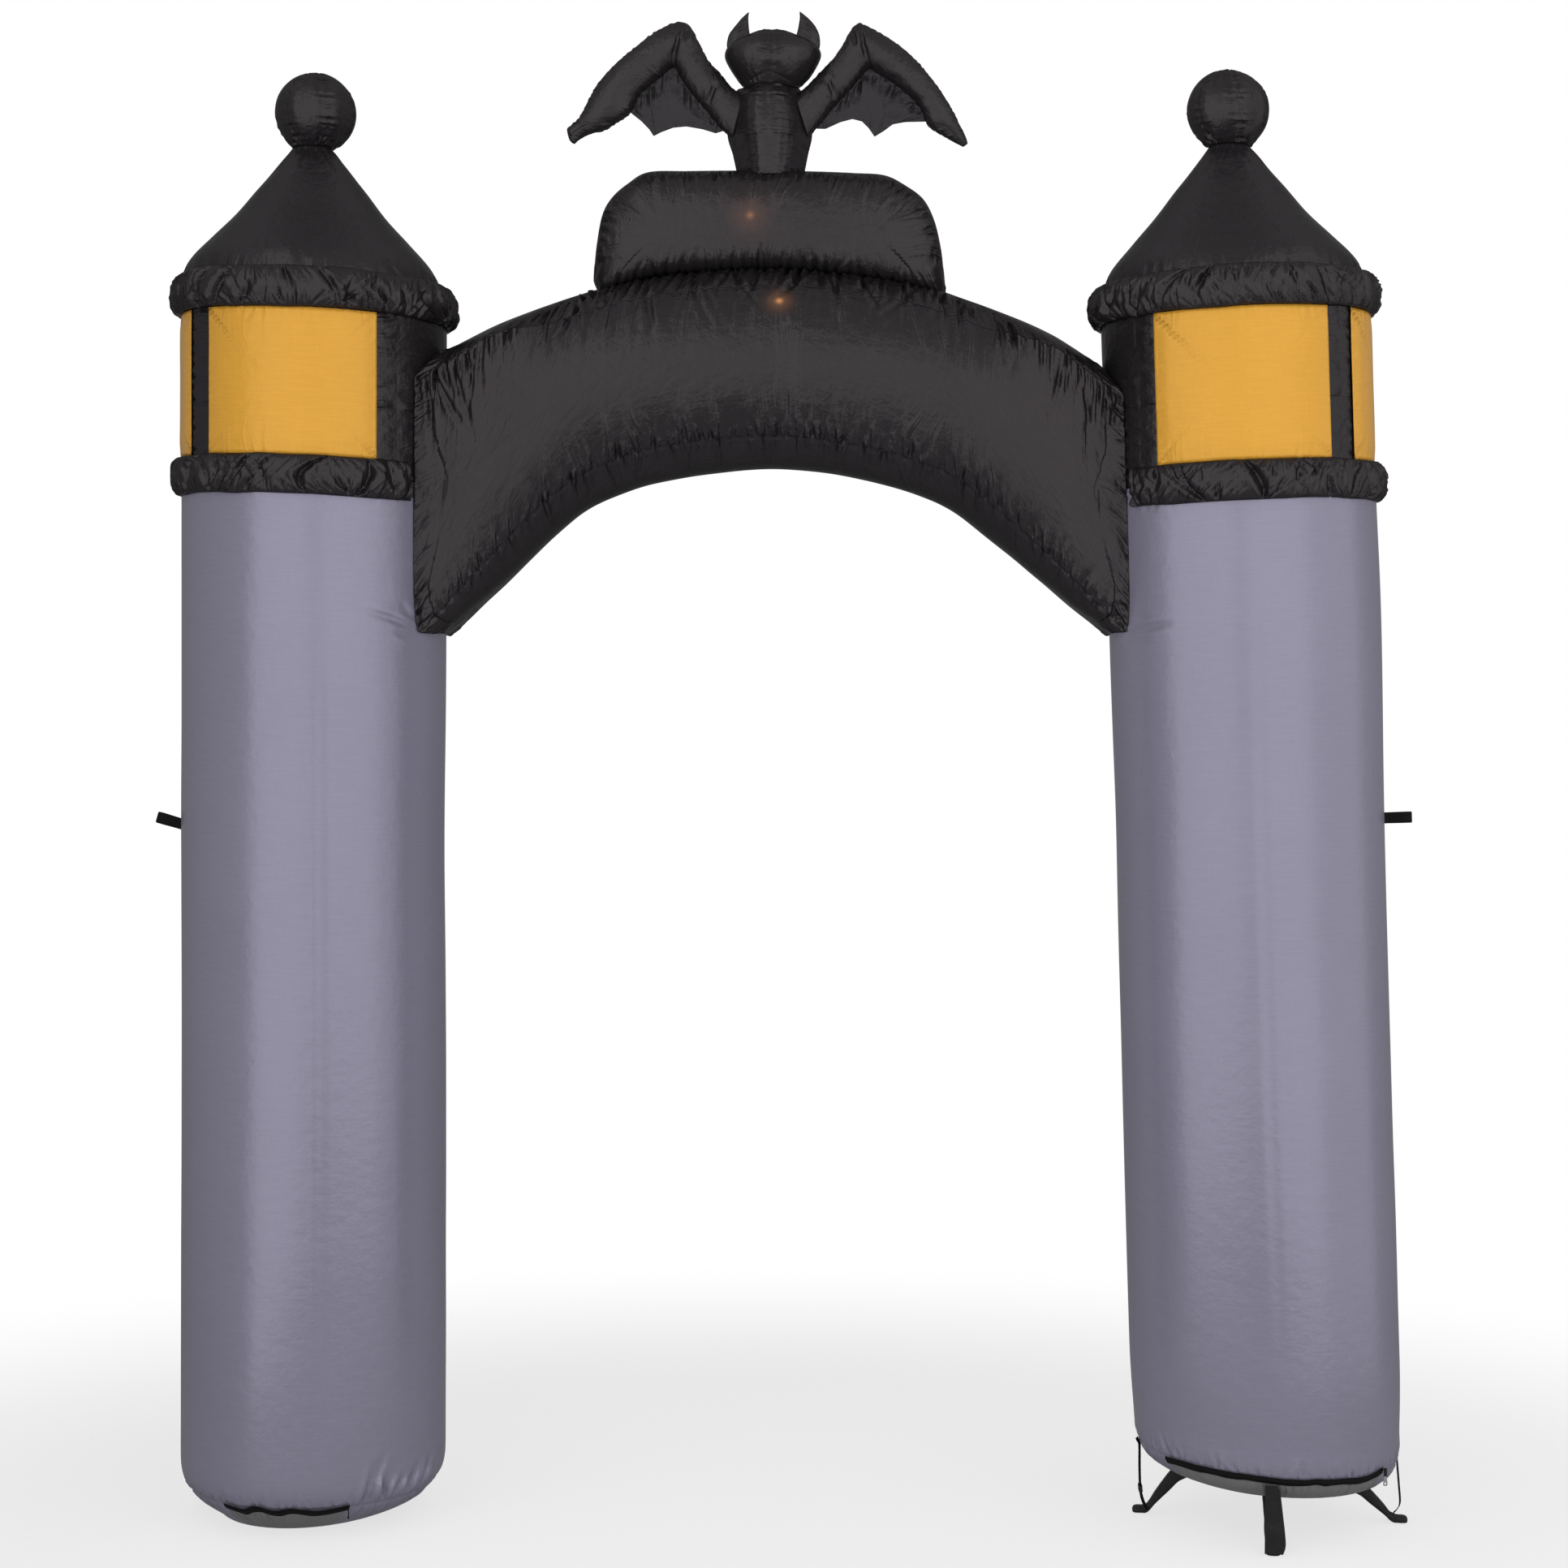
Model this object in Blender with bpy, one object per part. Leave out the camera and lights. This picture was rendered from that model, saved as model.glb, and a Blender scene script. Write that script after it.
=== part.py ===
"""Inflatable arch: two columns with turrets, joined by an arch tube that carries a crest and a bat.

Metres, +Z up, floor at z = 0. The rear of the arch faces -Y. The right column (+X) leans in
a little and stands on the blower's four-legged stand.
"""

import math

import bpy
import numpy as np
from mathutils import Matrix

# Columns, turrets and roofs
COLUMN_RADIUS = 0.2400
TURRET_RADIUS = 0.2395
ROUND_SIDES = 40
SEWN_GAP = 0.0005

# Gathered rolls: a half-round band sewn round the wall
LOWER_ROLL_OPENING = 33.5
ROLL_INNER = COLUMN_RADIUS + SEWN_GAP
ROLL_SWELL = 0.0180
ROLL_HALF_HEIGHT = 0.0340
ROLL_STEPS = 8

# Window panels
PANEL_THICKNESS = 0.0015
PANEL_ARC = 77.0
PANEL_PITCH = 92.0
PANEL_STEPS = 18

FINIAL_RADIUS = 0.0735
FINIAL_NECK = 0.0360

SECTION_SIDES = 24
SMALL_SECTION_SIDES = 16
ARCH_CLEARANCE = 0.0008
MEMBRANE_THICKNESS = 0.0015

# Webbing, zips, stand
LOOP_WIDTH = 0.0200
ZIP_HALF_WIDTH = 0.0060
ZIP_THICKNESS = 0.0015
CORD_RADIUS = 0.0012
STAND_CENTRE = (0.8920, 0.0220)
STAND_TURN = -5.0
LEG_WIDTH = 0.0270
HUB_RADIUS = 0.0660
HUB_DEPTH = 0.0220
STRAP_WIDTH = 0.0160
STRAP_THICKNESS = 0.0015

# How each column narrows to its drawn-in bottom: height above the bottom, radius
FOOT_PROFILES = {
    "left": (
        (0.0000, 0.1470),
        (0.0100, 0.1560),
        (0.0200, 0.1700),
        (0.0300, 0.1880),
        (0.0400, 0.2050),
        (0.0520, 0.2200),
        (0.0710, 0.2360),
        (0.0900, COLUMN_RADIUS),
    ),
    "right": (
        (0.0000, 0.1470),
        (0.0050, 0.1710),
        (0.0150, 0.2010),
        (0.0300, 0.2260),
        (0.0400, 0.2350),
        (0.0500, 0.2390),
        (0.0600, COLUMN_RADIUS),
    ),
}

# Roof: height above its base, radius
ROOF_PROFILE = (
    (0.0000, TURRET_RADIUS),
    (0.0345, 0.2345),
    (0.0725, 0.2190),
    (0.1165, 0.1800),
    (0.1615, 0.1380),
    (0.2065, 0.1020),
    (0.2355, 0.0775),
    (0.2655, 0.0535),
    (0.2805, 0.0415),
    (0.2905, 0.0355),
)

# Upper roll: radius, height from its middle
UPPER_ROLL_PROFILE = (
    (TURRET_RADIUS + SEWN_GAP, -0.0340),
    (0.2495, -0.0325),
    (0.2565, -0.0235),
    (0.2595, -0.0080),
    (0.2590, 0.0100),
    (0.2550, 0.0260),
    (0.2460, 0.0365),
    (0.2345, 0.0375),
    (TURRET_RADIUS + SEWN_GAP, 0.0000),
)

# Each side: axis x at the floor, lean of the axis, bottom height, slope of the bottom,
# slope of every level above, and the heights of the joints. `inward` points to the arch.
SIDES = {
    "left": dict(
        axis=-0.8500,
        lean=0.0012,
        bottom=0.0000,
        bottom_slope=0.0000,
        level_slope=-0.0370,
        joint=1.8770,
        eaves=2.2010,
        roll=2.2050,
        inward=0.0,
        turn=0.0,
        zip_arc=(-31.0, 28.0),
        zip_height=0.0560,
    ),
    "right": dict(
        axis=0.8880,
        lean=-0.0283,
        bottom=0.0850,
        bottom_slope=-0.0590,
        level_slope=0.0350,
        joint=1.8610,
        eaves=2.1890,
        roll=2.1950,
        inward=180.0,
        turn=-3.0,
        zip_arc=(-55.0, 52.0),
        zip_height=0.0500,
    ),
}

# Arch tube: soffit x and z, top x and z, half thickness, squareness below and above
ARCH_STATIONS = (
    (-0.715, 1.500, -0.760, 2.020, 0.127, 7.0, 3.0),
    (-0.660, 1.548, -0.705, 2.058, 0.127, 7.0, 3.0),
    (-0.601, 1.603, -0.640, 2.098, 0.128, 5.0, 2.8),
    (-0.548, 1.648, -0.590, 2.124, 0.136, 3.2, 2.5),
    (-0.498, 1.692, -0.535, 2.153, 0.144, 2.5, 2.3),
    (-0.450, 1.738, -0.480, 2.178, 0.151, 2.2, 2.1),
    (-0.404, 1.781, -0.425, 2.199, 0.155, 2.05, 2.05),
    (-0.349, 1.822, -0.365, 2.218, 0.156, 2.0, 2.0),
    (-0.290, 1.850, -0.305, 2.234, 0.156, 2.0, 2.0),
    (-0.220, 1.874, -0.235, 2.249, 0.156, 2.0, 2.0),
    (-0.120, 1.893, -0.125, 2.263, 0.156, 2.0, 2.0),
    (-0.010, 1.901, -0.012, 2.268, 0.156, 2.0, 2.0),
    (0.095, 1.893, 0.100, 2.262, 0.156, 2.0, 2.0),
    (0.185, 1.874, 0.205, 2.246, 0.156, 2.0, 2.0),
    (0.262, 1.850, 0.280, 2.228, 0.156, 2.0, 2.0),
    (0.322, 1.822, 0.340, 2.207, 0.156, 2.0, 2.0),
    (0.376, 1.779, 0.400, 2.184, 0.154, 2.05, 2.05),
    (0.430, 1.735, 0.455, 2.160, 0.150, 2.2, 2.1),
    (0.482, 1.692, 0.510, 2.131, 0.142, 2.5, 2.3),
    (0.535, 1.648, 0.560, 2.099, 0.130, 3.2, 2.5),
    (0.594, 1.602, 0.610, 2.062, 0.120, 5.0, 2.8),
    (0.650, 1.550, 0.670, 2.020, 0.118, 7.0, 3.0),
    (0.705, 1.500, 0.725, 1.980, 0.118, 7.0, 3.0),
)

# Crest pillow: bottom x and z (sunk into the arch, then trimmed), top x and z, half thickness
CREST_STATIONS = (
    (-0.3345, 2.240, -0.3330, 2.275, 0.006),
    (-0.3290, 2.228, -0.3260, 2.318, 0.024),
    (-0.3180, 2.218, -0.3160, 2.367, 0.042),
    (-0.3000, 2.220, -0.3000, 2.397, 0.056),
    (-0.2750, 2.228, -0.2720, 2.421, 0.068),
    (-0.2350, 2.238, -0.2330, 2.442, 0.078),
    (-0.1600, 2.246, -0.1600, 2.443, 0.085),
    (-0.0800, 2.250, -0.0800, 2.443, 0.088),
    (-0.0100, 2.251, -0.0100, 2.442, 0.088),
    (0.0700, 2.246, 0.0700, 2.440, 0.088),
    (0.1400, 2.238, 0.1400, 2.437, 0.084),
    (0.1890, 2.230, 0.1920, 2.431, 0.078),
    (0.2320, 2.222, 0.2320, 2.413, 0.068),
    (0.2620, 2.214, 0.2640, 2.387, 0.056),
    (0.2840, 2.208, 0.2820, 2.350, 0.042),
    (0.2980, 2.208, 0.2940, 2.300, 0.024),
    (0.3050, 2.214, 0.3000, 2.262, 0.006),
)

# Bat body and head: height, left x, right x, half thickness
BODY_LEVELS = (
    (2.4300, -0.069, 0.048, 0.048),
    (2.4700, -0.079, 0.056, 0.055),
    (2.5050, -0.089, 0.064, 0.060),
    (2.5400, -0.090, 0.062, 0.058),
    (2.5650, -0.086, 0.054, 0.052),
    (2.5870, -0.074, 0.044, 0.045),
    (2.5955, -0.062, 0.038, 0.040),
)
HEAD_LEVELS = (
    (2.5962, -0.060, 0.042, 0.042),
    (2.6120, -0.074, 0.060, 0.056),
    (2.6320, -0.086, 0.073, 0.068),
    (2.6550, -0.093, 0.080, 0.074),
    (2.6750, -0.092, 0.079, 0.070),
    (2.6880, -0.078, 0.063, 0.055),
    (2.6970, -0.050, 0.033, 0.034),
    (2.7000, -0.020, 0.005, 0.012),
)

# Ears: outer x and z, inner x and z, half thickness
EAR_STATIONS = {
    "left": (
        (-0.0830, 2.6660, -0.0460, 2.6720, 0.014),
        (-0.0890, 2.6860, -0.0485, 2.6900, 0.014),
        (-0.0855, 2.6960, -0.0500, 2.6990, 0.012),
        (-0.0750, 2.7090, -0.0508, 2.7090, 0.009),
        (-0.0640, 2.7220, -0.0515, 2.7220, 0.006),
        (-0.0535, 2.7315, -0.0505, 2.7325, 0.002),
    ),
    "right": (
        (0.0700, 2.6660, 0.0330, 2.6720, 0.014),
        (0.0775, 2.6860, 0.0355, 2.6900, 0.014),
        (0.0755, 2.6960, 0.0380, 2.6990, 0.012),
        (0.0680, 2.7090, 0.0400, 2.7090, 0.009),
        (0.0560, 2.7220, 0.0420, 2.7220, 0.006),
        (0.0445, 2.7315, 0.0415, 2.7325, 0.002),
    ),
}

# Wing tubes from the shoulder over the wrist to the tip: inner x and z, outer x and z, half thickness
WING_STATIONS = {
    "left": (
        (-0.0800, 2.5000, -0.0600, 2.5800, 0.026),
        (-0.1000, 2.5190, -0.0820, 2.5900, 0.028),
        (-0.1220, 2.5450, -0.1040, 2.6170, 0.030),
        (-0.1450, 2.5730, -0.1240, 2.6450, 0.031),
        (-0.1680, 2.6030, -0.1410, 2.6770, 0.032),
        (-0.1835, 2.6290, -0.1580, 2.7080, 0.034),
        (-0.1865, 2.6325, -0.1720, 2.7155, 0.035),
        (-0.1890, 2.6325, -0.1900, 2.7135, 0.035),
        (-0.1960, 2.6280, -0.2220, 2.6980, 0.035),
        (-0.2130, 2.6150, -0.2620, 2.6690, 0.034),
        (-0.2320, 2.6000, -0.2970, 2.6390, 0.034),
        (-0.2500, 2.5830, -0.3250, 2.6080, 0.033),
        (-0.2680, 2.5510, -0.3430, 2.5790, 0.031),
        (-0.2850, 2.5380, -0.3540, 2.5560, 0.028),
        (-0.3130, 2.5210, -0.3640, 2.5410, 0.022),
        (-0.3400, 2.5140, -0.3750, 2.5310, 0.016),
        (-0.3600, 2.5065, -0.3820, 2.5240, 0.012),
        (-0.3720, 2.5030, -0.3800, 2.5120, 0.005),
    ),
    "right": (
        (0.0580, 2.5000, 0.0320, 2.5800, 0.026),
        (0.0740, 2.5220, 0.0550, 2.5970, 0.028),
        (0.0980, 2.5490, 0.0800, 2.6230, 0.030),
        (0.1210, 2.5750, 0.1050, 2.6490, 0.031),
        (0.1450, 2.6020, 0.1240, 2.6770, 0.032),
        (0.1630, 2.6220, 0.1390, 2.7020, 0.034),
        (0.1675, 2.6262, 0.1510, 2.7095, 0.035),
        (0.1705, 2.6255, 0.1720, 2.7005, 0.035),
        (0.1860, 2.6160, 0.2080, 2.6800, 0.035),
        (0.2050, 2.6050, 0.2400, 2.6550, 0.034),
        (0.2220, 2.5930, 0.2680, 2.6250, 0.034),
        (0.2400, 2.5770, 0.2920, 2.5940, 0.032),
        (0.2560, 2.5600, 0.3100, 2.5660, 0.030),
        (0.2665, 2.5400, 0.3230, 2.5440, 0.027),
        (0.2740, 2.5230, 0.3310, 2.5280, 0.024),
        (0.2920, 2.5100, 0.3390, 2.5130, 0.018),
        (0.3160, 2.4960, 0.3450, 2.4990, 0.012),
        (0.3380, 2.4840, 0.3470, 2.4900, 0.005),
    ),
}

# Membrane outlines, x and z, from the body along the two tubes and back over the scallops
MEMBRANES = {
    "left": (
        (-0.0990, 2.5165),
        (-0.1225, 2.5440),
        (-0.1457, 2.5720),
        (-0.1685, 2.6020),
        (-0.1840, 2.6275),
        (-0.1880, 2.6315),
        (-0.1955, 2.6270),
        (-0.2125, 2.6140),
        (-0.2315, 2.5988),
        (-0.2492, 2.5818),
        (-0.2650, 2.5520),
        (-0.2480, 2.5400),
        (-0.2330, 2.5250),
        (-0.2250, 2.5125),
        (-0.2110, 2.5200),
        (-0.1890, 2.5280),
        (-0.1650, 2.5300),
        (-0.1350, 2.5245),
        (-0.1115, 2.5165),
    ),
    "right": (
        (0.0730, 2.5195),
        (0.0978, 2.5476),
        (0.1208, 2.5736),
        (0.1448, 2.6006),
        (0.1625, 2.6203),
        (0.1690, 2.6245),
        (0.1855, 2.6148),
        (0.2043, 2.6040),
        (0.2211, 2.5922),
        (0.2390, 2.5763),
        (0.2549, 2.5594),
        (0.2650, 2.5400),
        (0.2700, 2.5280),
        (0.2330, 2.5330),
        (0.2110, 2.5290),
        (0.1940, 2.5170),
        (0.1780, 2.5075),
        (0.1670, 2.5240),
        (0.1550, 2.5360),
        (0.1380, 2.5405),
        (0.1160, 2.5350),
        (0.0890, 2.5225),
    ),
}

# Guy-line loops: distance out from the wall, half gap between the two layers' outer faces
LOOP_OUTLINE = (
    (0.0000, 0.0022),
    (0.0100, 0.0024),
    (0.0200, 0.0040),
    (0.0300, 0.0064),
    (0.0380, 0.0072),
    (0.0425, 0.0058),
    (0.0450, 0.0025),
)
LOOP_EYE = (
    (0.0140, 0.0008),
    (0.0210, 0.0024),
    (0.0300, 0.0046),
    (0.0375, 0.0054),
    (0.0410, 0.0042),
    (0.0432, 0.0018),
)
# Loops: side, height, upward tilt in degrees
LOOPS = {"left": (1.2560, 16.0), "right": (1.2680, 2.0)}

# Stand legs: turn in degrees, height of the middle at the hub, reach of the foot's tip
LEGS = {
    "rear": (270.0, 0.0690, 0.2400),
    "outer": (0.0, 0.0600, 0.2460),
    "front": (90.0, 0.0690, 0.2400),
    "inner": (180.0, 0.0780, 0.2460),
}

# Leg straps: x and z from the column down to the foot
STRAPS = {
    "inner": ((0.6420, 0.1750), (0.6422, 0.1500), (0.6480, 0.0500), (0.6560, 0.0240), (0.6620, 0.0165)),
    "outer": ((1.1252, 0.1700), (1.1253, 0.1400), (1.1240, 0.0450), (1.1210, 0.0240), (1.1165, 0.0175)),
}

# Finishes: red, green, blue (linear), roughness, metallic
FINISHES = {
    "grey_nylon": (0.190, 0.185, 0.235, 0.55, 0.0),
    "black_nylon": (0.021, 0.020, 0.020, 0.50, 0.0),
    "amber_nylon": (0.650, 0.330, 0.050, 0.55, 0.0),
    "membrane_nylon": (0.030, 0.030, 0.032, 0.60, 0.0),
    "black_webbing": (0.012, 0.012, 0.012, 0.75, 0.0),
    "zip_tape": (0.008, 0.008, 0.008, 0.60, 0.0),
    "black_plastic": (0.015, 0.015, 0.016, 0.45, 0.0),
    "zip_steel": (0.350, 0.350, 0.350, 0.35, 1.0),
    "pull_cord": (0.010, 0.010, 0.010, 0.80, 0.0),
}


def clear_scene():
    """Empty the file of its starting objects."""
    for item in list(bpy.data.objects):
        bpy.data.objects.remove(item, do_unlink=True)


def collection(name):
    """A new collection in the scene."""
    made = bpy.data.collections.new(name)
    bpy.context.scene.collection.children.link(made)
    return made


def finish(owner, name):
    """The material of one object, made from the named row of finishes."""
    red, green, blue, roughness, metallic = FINISHES[name]
    made = bpy.data.materials.new(owner + "_" + name)
    made.use_nodes = True
    shader = made.node_tree.nodes["Principled BSDF"]
    shader.inputs["Base Color"].default_value = (red, green, blue, 1.0)
    shader.inputs["Roughness"].default_value = roughness
    shader.inputs["Metallic"].default_value = metallic
    made.diffuse_color = (red, green, blue, 1.0)
    return made


def add(name, data, finish_name, parent_collection):
    """Put the data in the scene as one object with its own material."""
    made = bpy.data.objects.new(name, data)
    parent_collection.objects.link(made)
    if finish_name:
        data.materials.append(finish(name, finish_name))
    else:
        made.hide_render = True
        made.display_type = "WIRE"
    return made


def loft(name, rings, finish_name, parent_collection, loop=False):
    """A closed skin through equal rings of points, capped unless it runs round in a loop."""
    count = len(rings[0])
    last = len(rings) if loop else len(rings) - 1
    faces = []
    for level in range(last):
        here = level * count
        above = (level + 1) % len(rings) * count
        for side in range(count):
            following = (side + 1) % count
            faces.append((here + side, here + following, above + following, above + side))
    if not loop:
        faces.append(tuple(reversed(range(count))))
        faces.append(tuple(last * count + side for side in range(count)))
    points = np.concatenate(rings)
    if signed_volume(points, faces) < 0.0:
        faces = [tuple(reversed(face)) for face in faces]
    mesh = bpy.data.meshes.new(name)
    mesh.from_pydata(points.tolist(), [], faces)
    mesh.validate()
    return add(name, mesh, finish_name, parent_collection)


def signed_volume(points, faces):
    """Volume of a closed skin, negative where its faces look inward."""
    total = 0.0
    for face in faces:
        first = points[face[0]]
        for one, two in zip(face[1:-1], face[2:]):
            total += float(first @ np.cross(points[one], points[two]))
    return total / 6.0


def cut(target, cutter):
    """Take the cutter's volume out of the target."""
    modifier = target.modifiers.new("trim_" + cutter.name, "BOOLEAN")
    modifier.operation = "DIFFERENCE"
    modifier.solver = "EXACT"
    modifier.object = cutter


def axis_x(side, height):
    """Where the side's leaning axis is at a height."""
    return side["axis"] + side["lean"] * height


def hoop(side, height, radius, slope, sides=ROUND_SIDES):
    """A ring of points round the side's axis, its level falling or rising along x."""
    turn = np.arange(sides) * 2.0 * math.pi / sides
    z = height + slope * radius * np.cos(turn)
    x = axis_x(side, z) + radius * np.cos(turn)
    return np.stack([x, radius * np.sin(turn), z], axis=1)


def slope_at(side, height):
    """The level's slope, easing from the bottom's to that of the joint and above."""
    start = side["bottom"] + 0.10
    share = (height - start) / (side["joint"] - 0.10 - start)
    share = min(max(share, 0.0), 1.0)
    eased = share * share * (3.0 - 2.0 * share)
    return side["bottom_slope"] + (side["level_slope"] - side["bottom_slope"]) * eased


def foot_radius(key, height):
    """Radius of a column's drawn-in bottom at a height above it."""
    heights = [row[0] for row in FOOT_PROFILES[key]]
    radii = [row[1] for row in FOOT_PROFILES[key]]
    return float(np.interp(height, heights, radii))


def on_wall(side, degrees, radius, height, slope):
    """A point at an angle from the rear (-Y), counted toward +X."""
    angle = math.radians(degrees - 90.0)
    z = height + slope * radius * math.cos(angle)
    return (axis_x(side, z) + radius * math.cos(angle), radius * math.sin(angle), z)


def oval(one, two, half_depth, power, sides, swell=0.0):
    """A rounded section standing across Y between two points (x, z).

    The power squares its corners, and may be a pair for the halves at each point.
    """
    one = np.array(one)
    two = np.array(two)
    middle = (one + two) / 2.0
    reach = np.linalg.norm(two - one) / 2.0
    along = (two - one) / (2.0 * reach)
    turn = np.arange(sides) * 2.0 * math.pi / sides
    power = np.where(np.cos(turn) < 0.0, *power) if isinstance(power, tuple) else power
    share = np.sign(np.cos(turn)) * np.abs(np.cos(turn)) ** (2.0 / power)
    depth = np.sign(np.sin(turn)) * np.abs(np.sin(turn)) ** (2.0 / power)
    x = middle[0] + along[0] * share * (reach + swell)
    z = middle[1] + along[1] * share * (reach + swell)
    return np.stack([x, depth * (half_depth + swell), z], axis=1)


def prism(name, outlines, thickness, matrix, finish_name, parent_collection):
    """Flat closed outlines, the second one a hole, thickened about their own plane."""
    data = bpy.data.curves.new(name, "CURVE")
    data.dimensions = "2D"
    data.fill_mode = "BOTH"
    data.extrude = thickness / 2.0
    for outline in outlines:
        spline = data.splines.new("POLY")
        spline.points.add(len(outline) - 1)
        for point, (u, v) in zip(spline.points, outline):
            point.co = (u, v, 0.0, 1.0)
        spline.use_cyclic_u = True
    made = add(name, data, finish_name, parent_collection)
    made.matrix_world = matrix
    return made


def build_column(key, side, parent_collection):
    """Column tube with its drawn-in bottom."""
    rings = []
    for height, radius in FOOT_PROFILES[key]:
        rings.append(hoop(side, side["bottom"] + height, radius, side["bottom_slope"]))
    for height in np.linspace(0.30, side["joint"], 7):
        rings.append(hoop(side, height, COLUMN_RADIUS, slope_at(side, height)))
    loft("column_" + key, rings, "grey_nylon", parent_collection)


def build_turret(key, side, parent_collection):
    """Turret wall on top of the column."""
    rings = []
    for height in (side["joint"] + SEWN_GAP, (side["joint"] + side["eaves"]) / 2.0, side["eaves"]):
        rings.append(hoop(side, height, TURRET_RADIUS, side["level_slope"]))
    loft("turret_" + key, rings, "black_nylon", parent_collection)


def build_lower_roll(key, side, parent_collection):
    """Gathered roll over the joint, open where the arch is sewn on."""
    steps = np.linspace(-90.0, 90.0, ROLL_STEPS)
    sections = []
    # Between its ends the roll's corners stand over the wall's own corners.
    pitch = 360.0 / ROUND_SIDES
    corners = np.arange(math.ceil(LOWER_ROLL_OPENING / pitch) * pitch, 360.0 - LOWER_ROLL_OPENING, pitch)
    for degrees in side["inward"] + np.array([LOWER_ROLL_OPENING, *corners, 360.0 - LOWER_ROLL_OPENING]):
        section = []
        for step in steps:
            radius = ROLL_INNER + ROLL_SWELL * math.cos(math.radians(step))
            height = side["joint"] + ROLL_HALF_HEIGHT * math.sin(math.radians(step))
            section.append(on_wall(side, degrees + 90.0, radius, height, side["level_slope"]))
        sections.append(np.array(section))
    loft("lower_roll_" + key, sections, "black_nylon", parent_collection)


def build_upper_roll(key, side, parent_collection):
    """Gathered roll under the roof, all the way round."""
    sections = []
    for degrees in np.arange(ROUND_SIDES) * 360.0 / ROUND_SIDES:
        section = []
        for radius, offset in UPPER_ROLL_PROFILE:
            height = side["roll"] + offset
            section.append(on_wall(side, degrees, radius, height, side["level_slope"]))
        sections.append(np.array(section))
    loft("upper_roll_" + key, sections, "black_nylon", parent_collection, loop=True)


def build_windows(key, side, parent_collection):
    """Three amber panels: rear, outer side and front."""
    outward = -1.0 if key == "left" else 1.0
    inner = TURRET_RADIUS + SEWN_GAP
    outer = inner + PANEL_THICKNESS
    low = side["joint"] + ROLL_HALF_HEIGHT + SEWN_GAP
    high = side["roll"] - ROLL_HALF_HEIGHT - SEWN_GAP
    slope = side["level_slope"]
    for order, place in enumerate(("rear", "outer", "front")):
        middle = side["turn"] + outward * PANEL_PITCH * order
        sections = []
        for degrees in np.linspace(middle - PANEL_ARC / 2.0, middle + PANEL_ARC / 2.0, PANEL_STEPS):
            corners = ((inner, low), (outer, low), (outer, high), (inner, high))
            sections.append(np.array([on_wall(side, degrees, r, z, slope) for r, z in corners]))
        loft("window_" + key + "_" + place, sections, "amber_nylon", parent_collection)


def build_roof(key, side, parent_collection):
    """Roof cone with the ball finial on its point."""
    base = side["eaves"] + SEWN_GAP
    rise = ROOF_PROFILE[-1][0]
    rings = []
    for offset, radius in ROOF_PROFILE:
        slope = side["level_slope"] * (1.0 - offset / rise)
        rings.append(hoop(side, base + offset, radius, slope))
    loft("roof_" + key, rings, "black_nylon", parent_collection)
    first = math.asin(FINIAL_NECK / FINIAL_RADIUS)
    centre = base + rise + SEWN_GAP + FINIAL_RADIUS * math.cos(first)
    rings = []
    for turn in np.linspace(first, math.pi - 0.06, 12):
        height = centre - FINIAL_RADIUS * math.cos(turn)
        rings.append(hoop(side, height, FINIAL_RADIUS * math.sin(turn), 0.0, sides=24))
    loft("finial_" + key, rings, "black_nylon", parent_collection)


def build_arch(parent_collection, cutters):
    """Arch tube, its ends shaped to the columns. Gives the wider copy that trims the crest."""
    rings = []
    wider = []
    for soffit_x, soffit_z, top_x, top_z, half_depth, below, above in ARCH_STATIONS:
        ends = ((soffit_x, soffit_z), (top_x, top_z))
        power = (below, above)
        rings.append(oval(*ends, half_depth, power, SECTION_SIDES))
        wider.append(oval(*ends, half_depth, power, SECTION_SIDES, swell=SEWN_GAP))
    arch = loft("arch", rings, "black_nylon", parent_collection)
    for key, side in SIDES.items():
        # The cutter's flats, not only its corners, stay clear of the wall.
        radius = (COLUMN_RADIUS + ARCH_CLEARANCE) / math.cos(math.pi / 72)
        tube = [hoop(side, height, radius, 0.0, sides=72) for height in (1.40, 2.30)]
        cut(arch, loft("column_clearance_" + key, tube, None, cutters))
    return loft("arch_clearance", wider, None, cutters)


def build_crest(arch_clearance, parent_collection, cutters):
    """Crest pillow on the arch. Gives the wider copy that trims the bat's body."""
    rings = []
    wider = []
    for bottom_x, bottom_z, top_x, top_z, half_depth in CREST_STATIONS:
        ends = ((bottom_x, bottom_z), (top_x, top_z))
        rings.append(oval(*ends, half_depth, 2.3, SECTION_SIDES))
        wider.append(oval(*ends, half_depth, 2.3, SECTION_SIDES, swell=SEWN_GAP))
    crest = loft("crest", rings, "black_nylon", parent_collection)
    cut(crest, arch_clearance)
    return loft("crest_clearance", wider, None, cutters)


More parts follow.
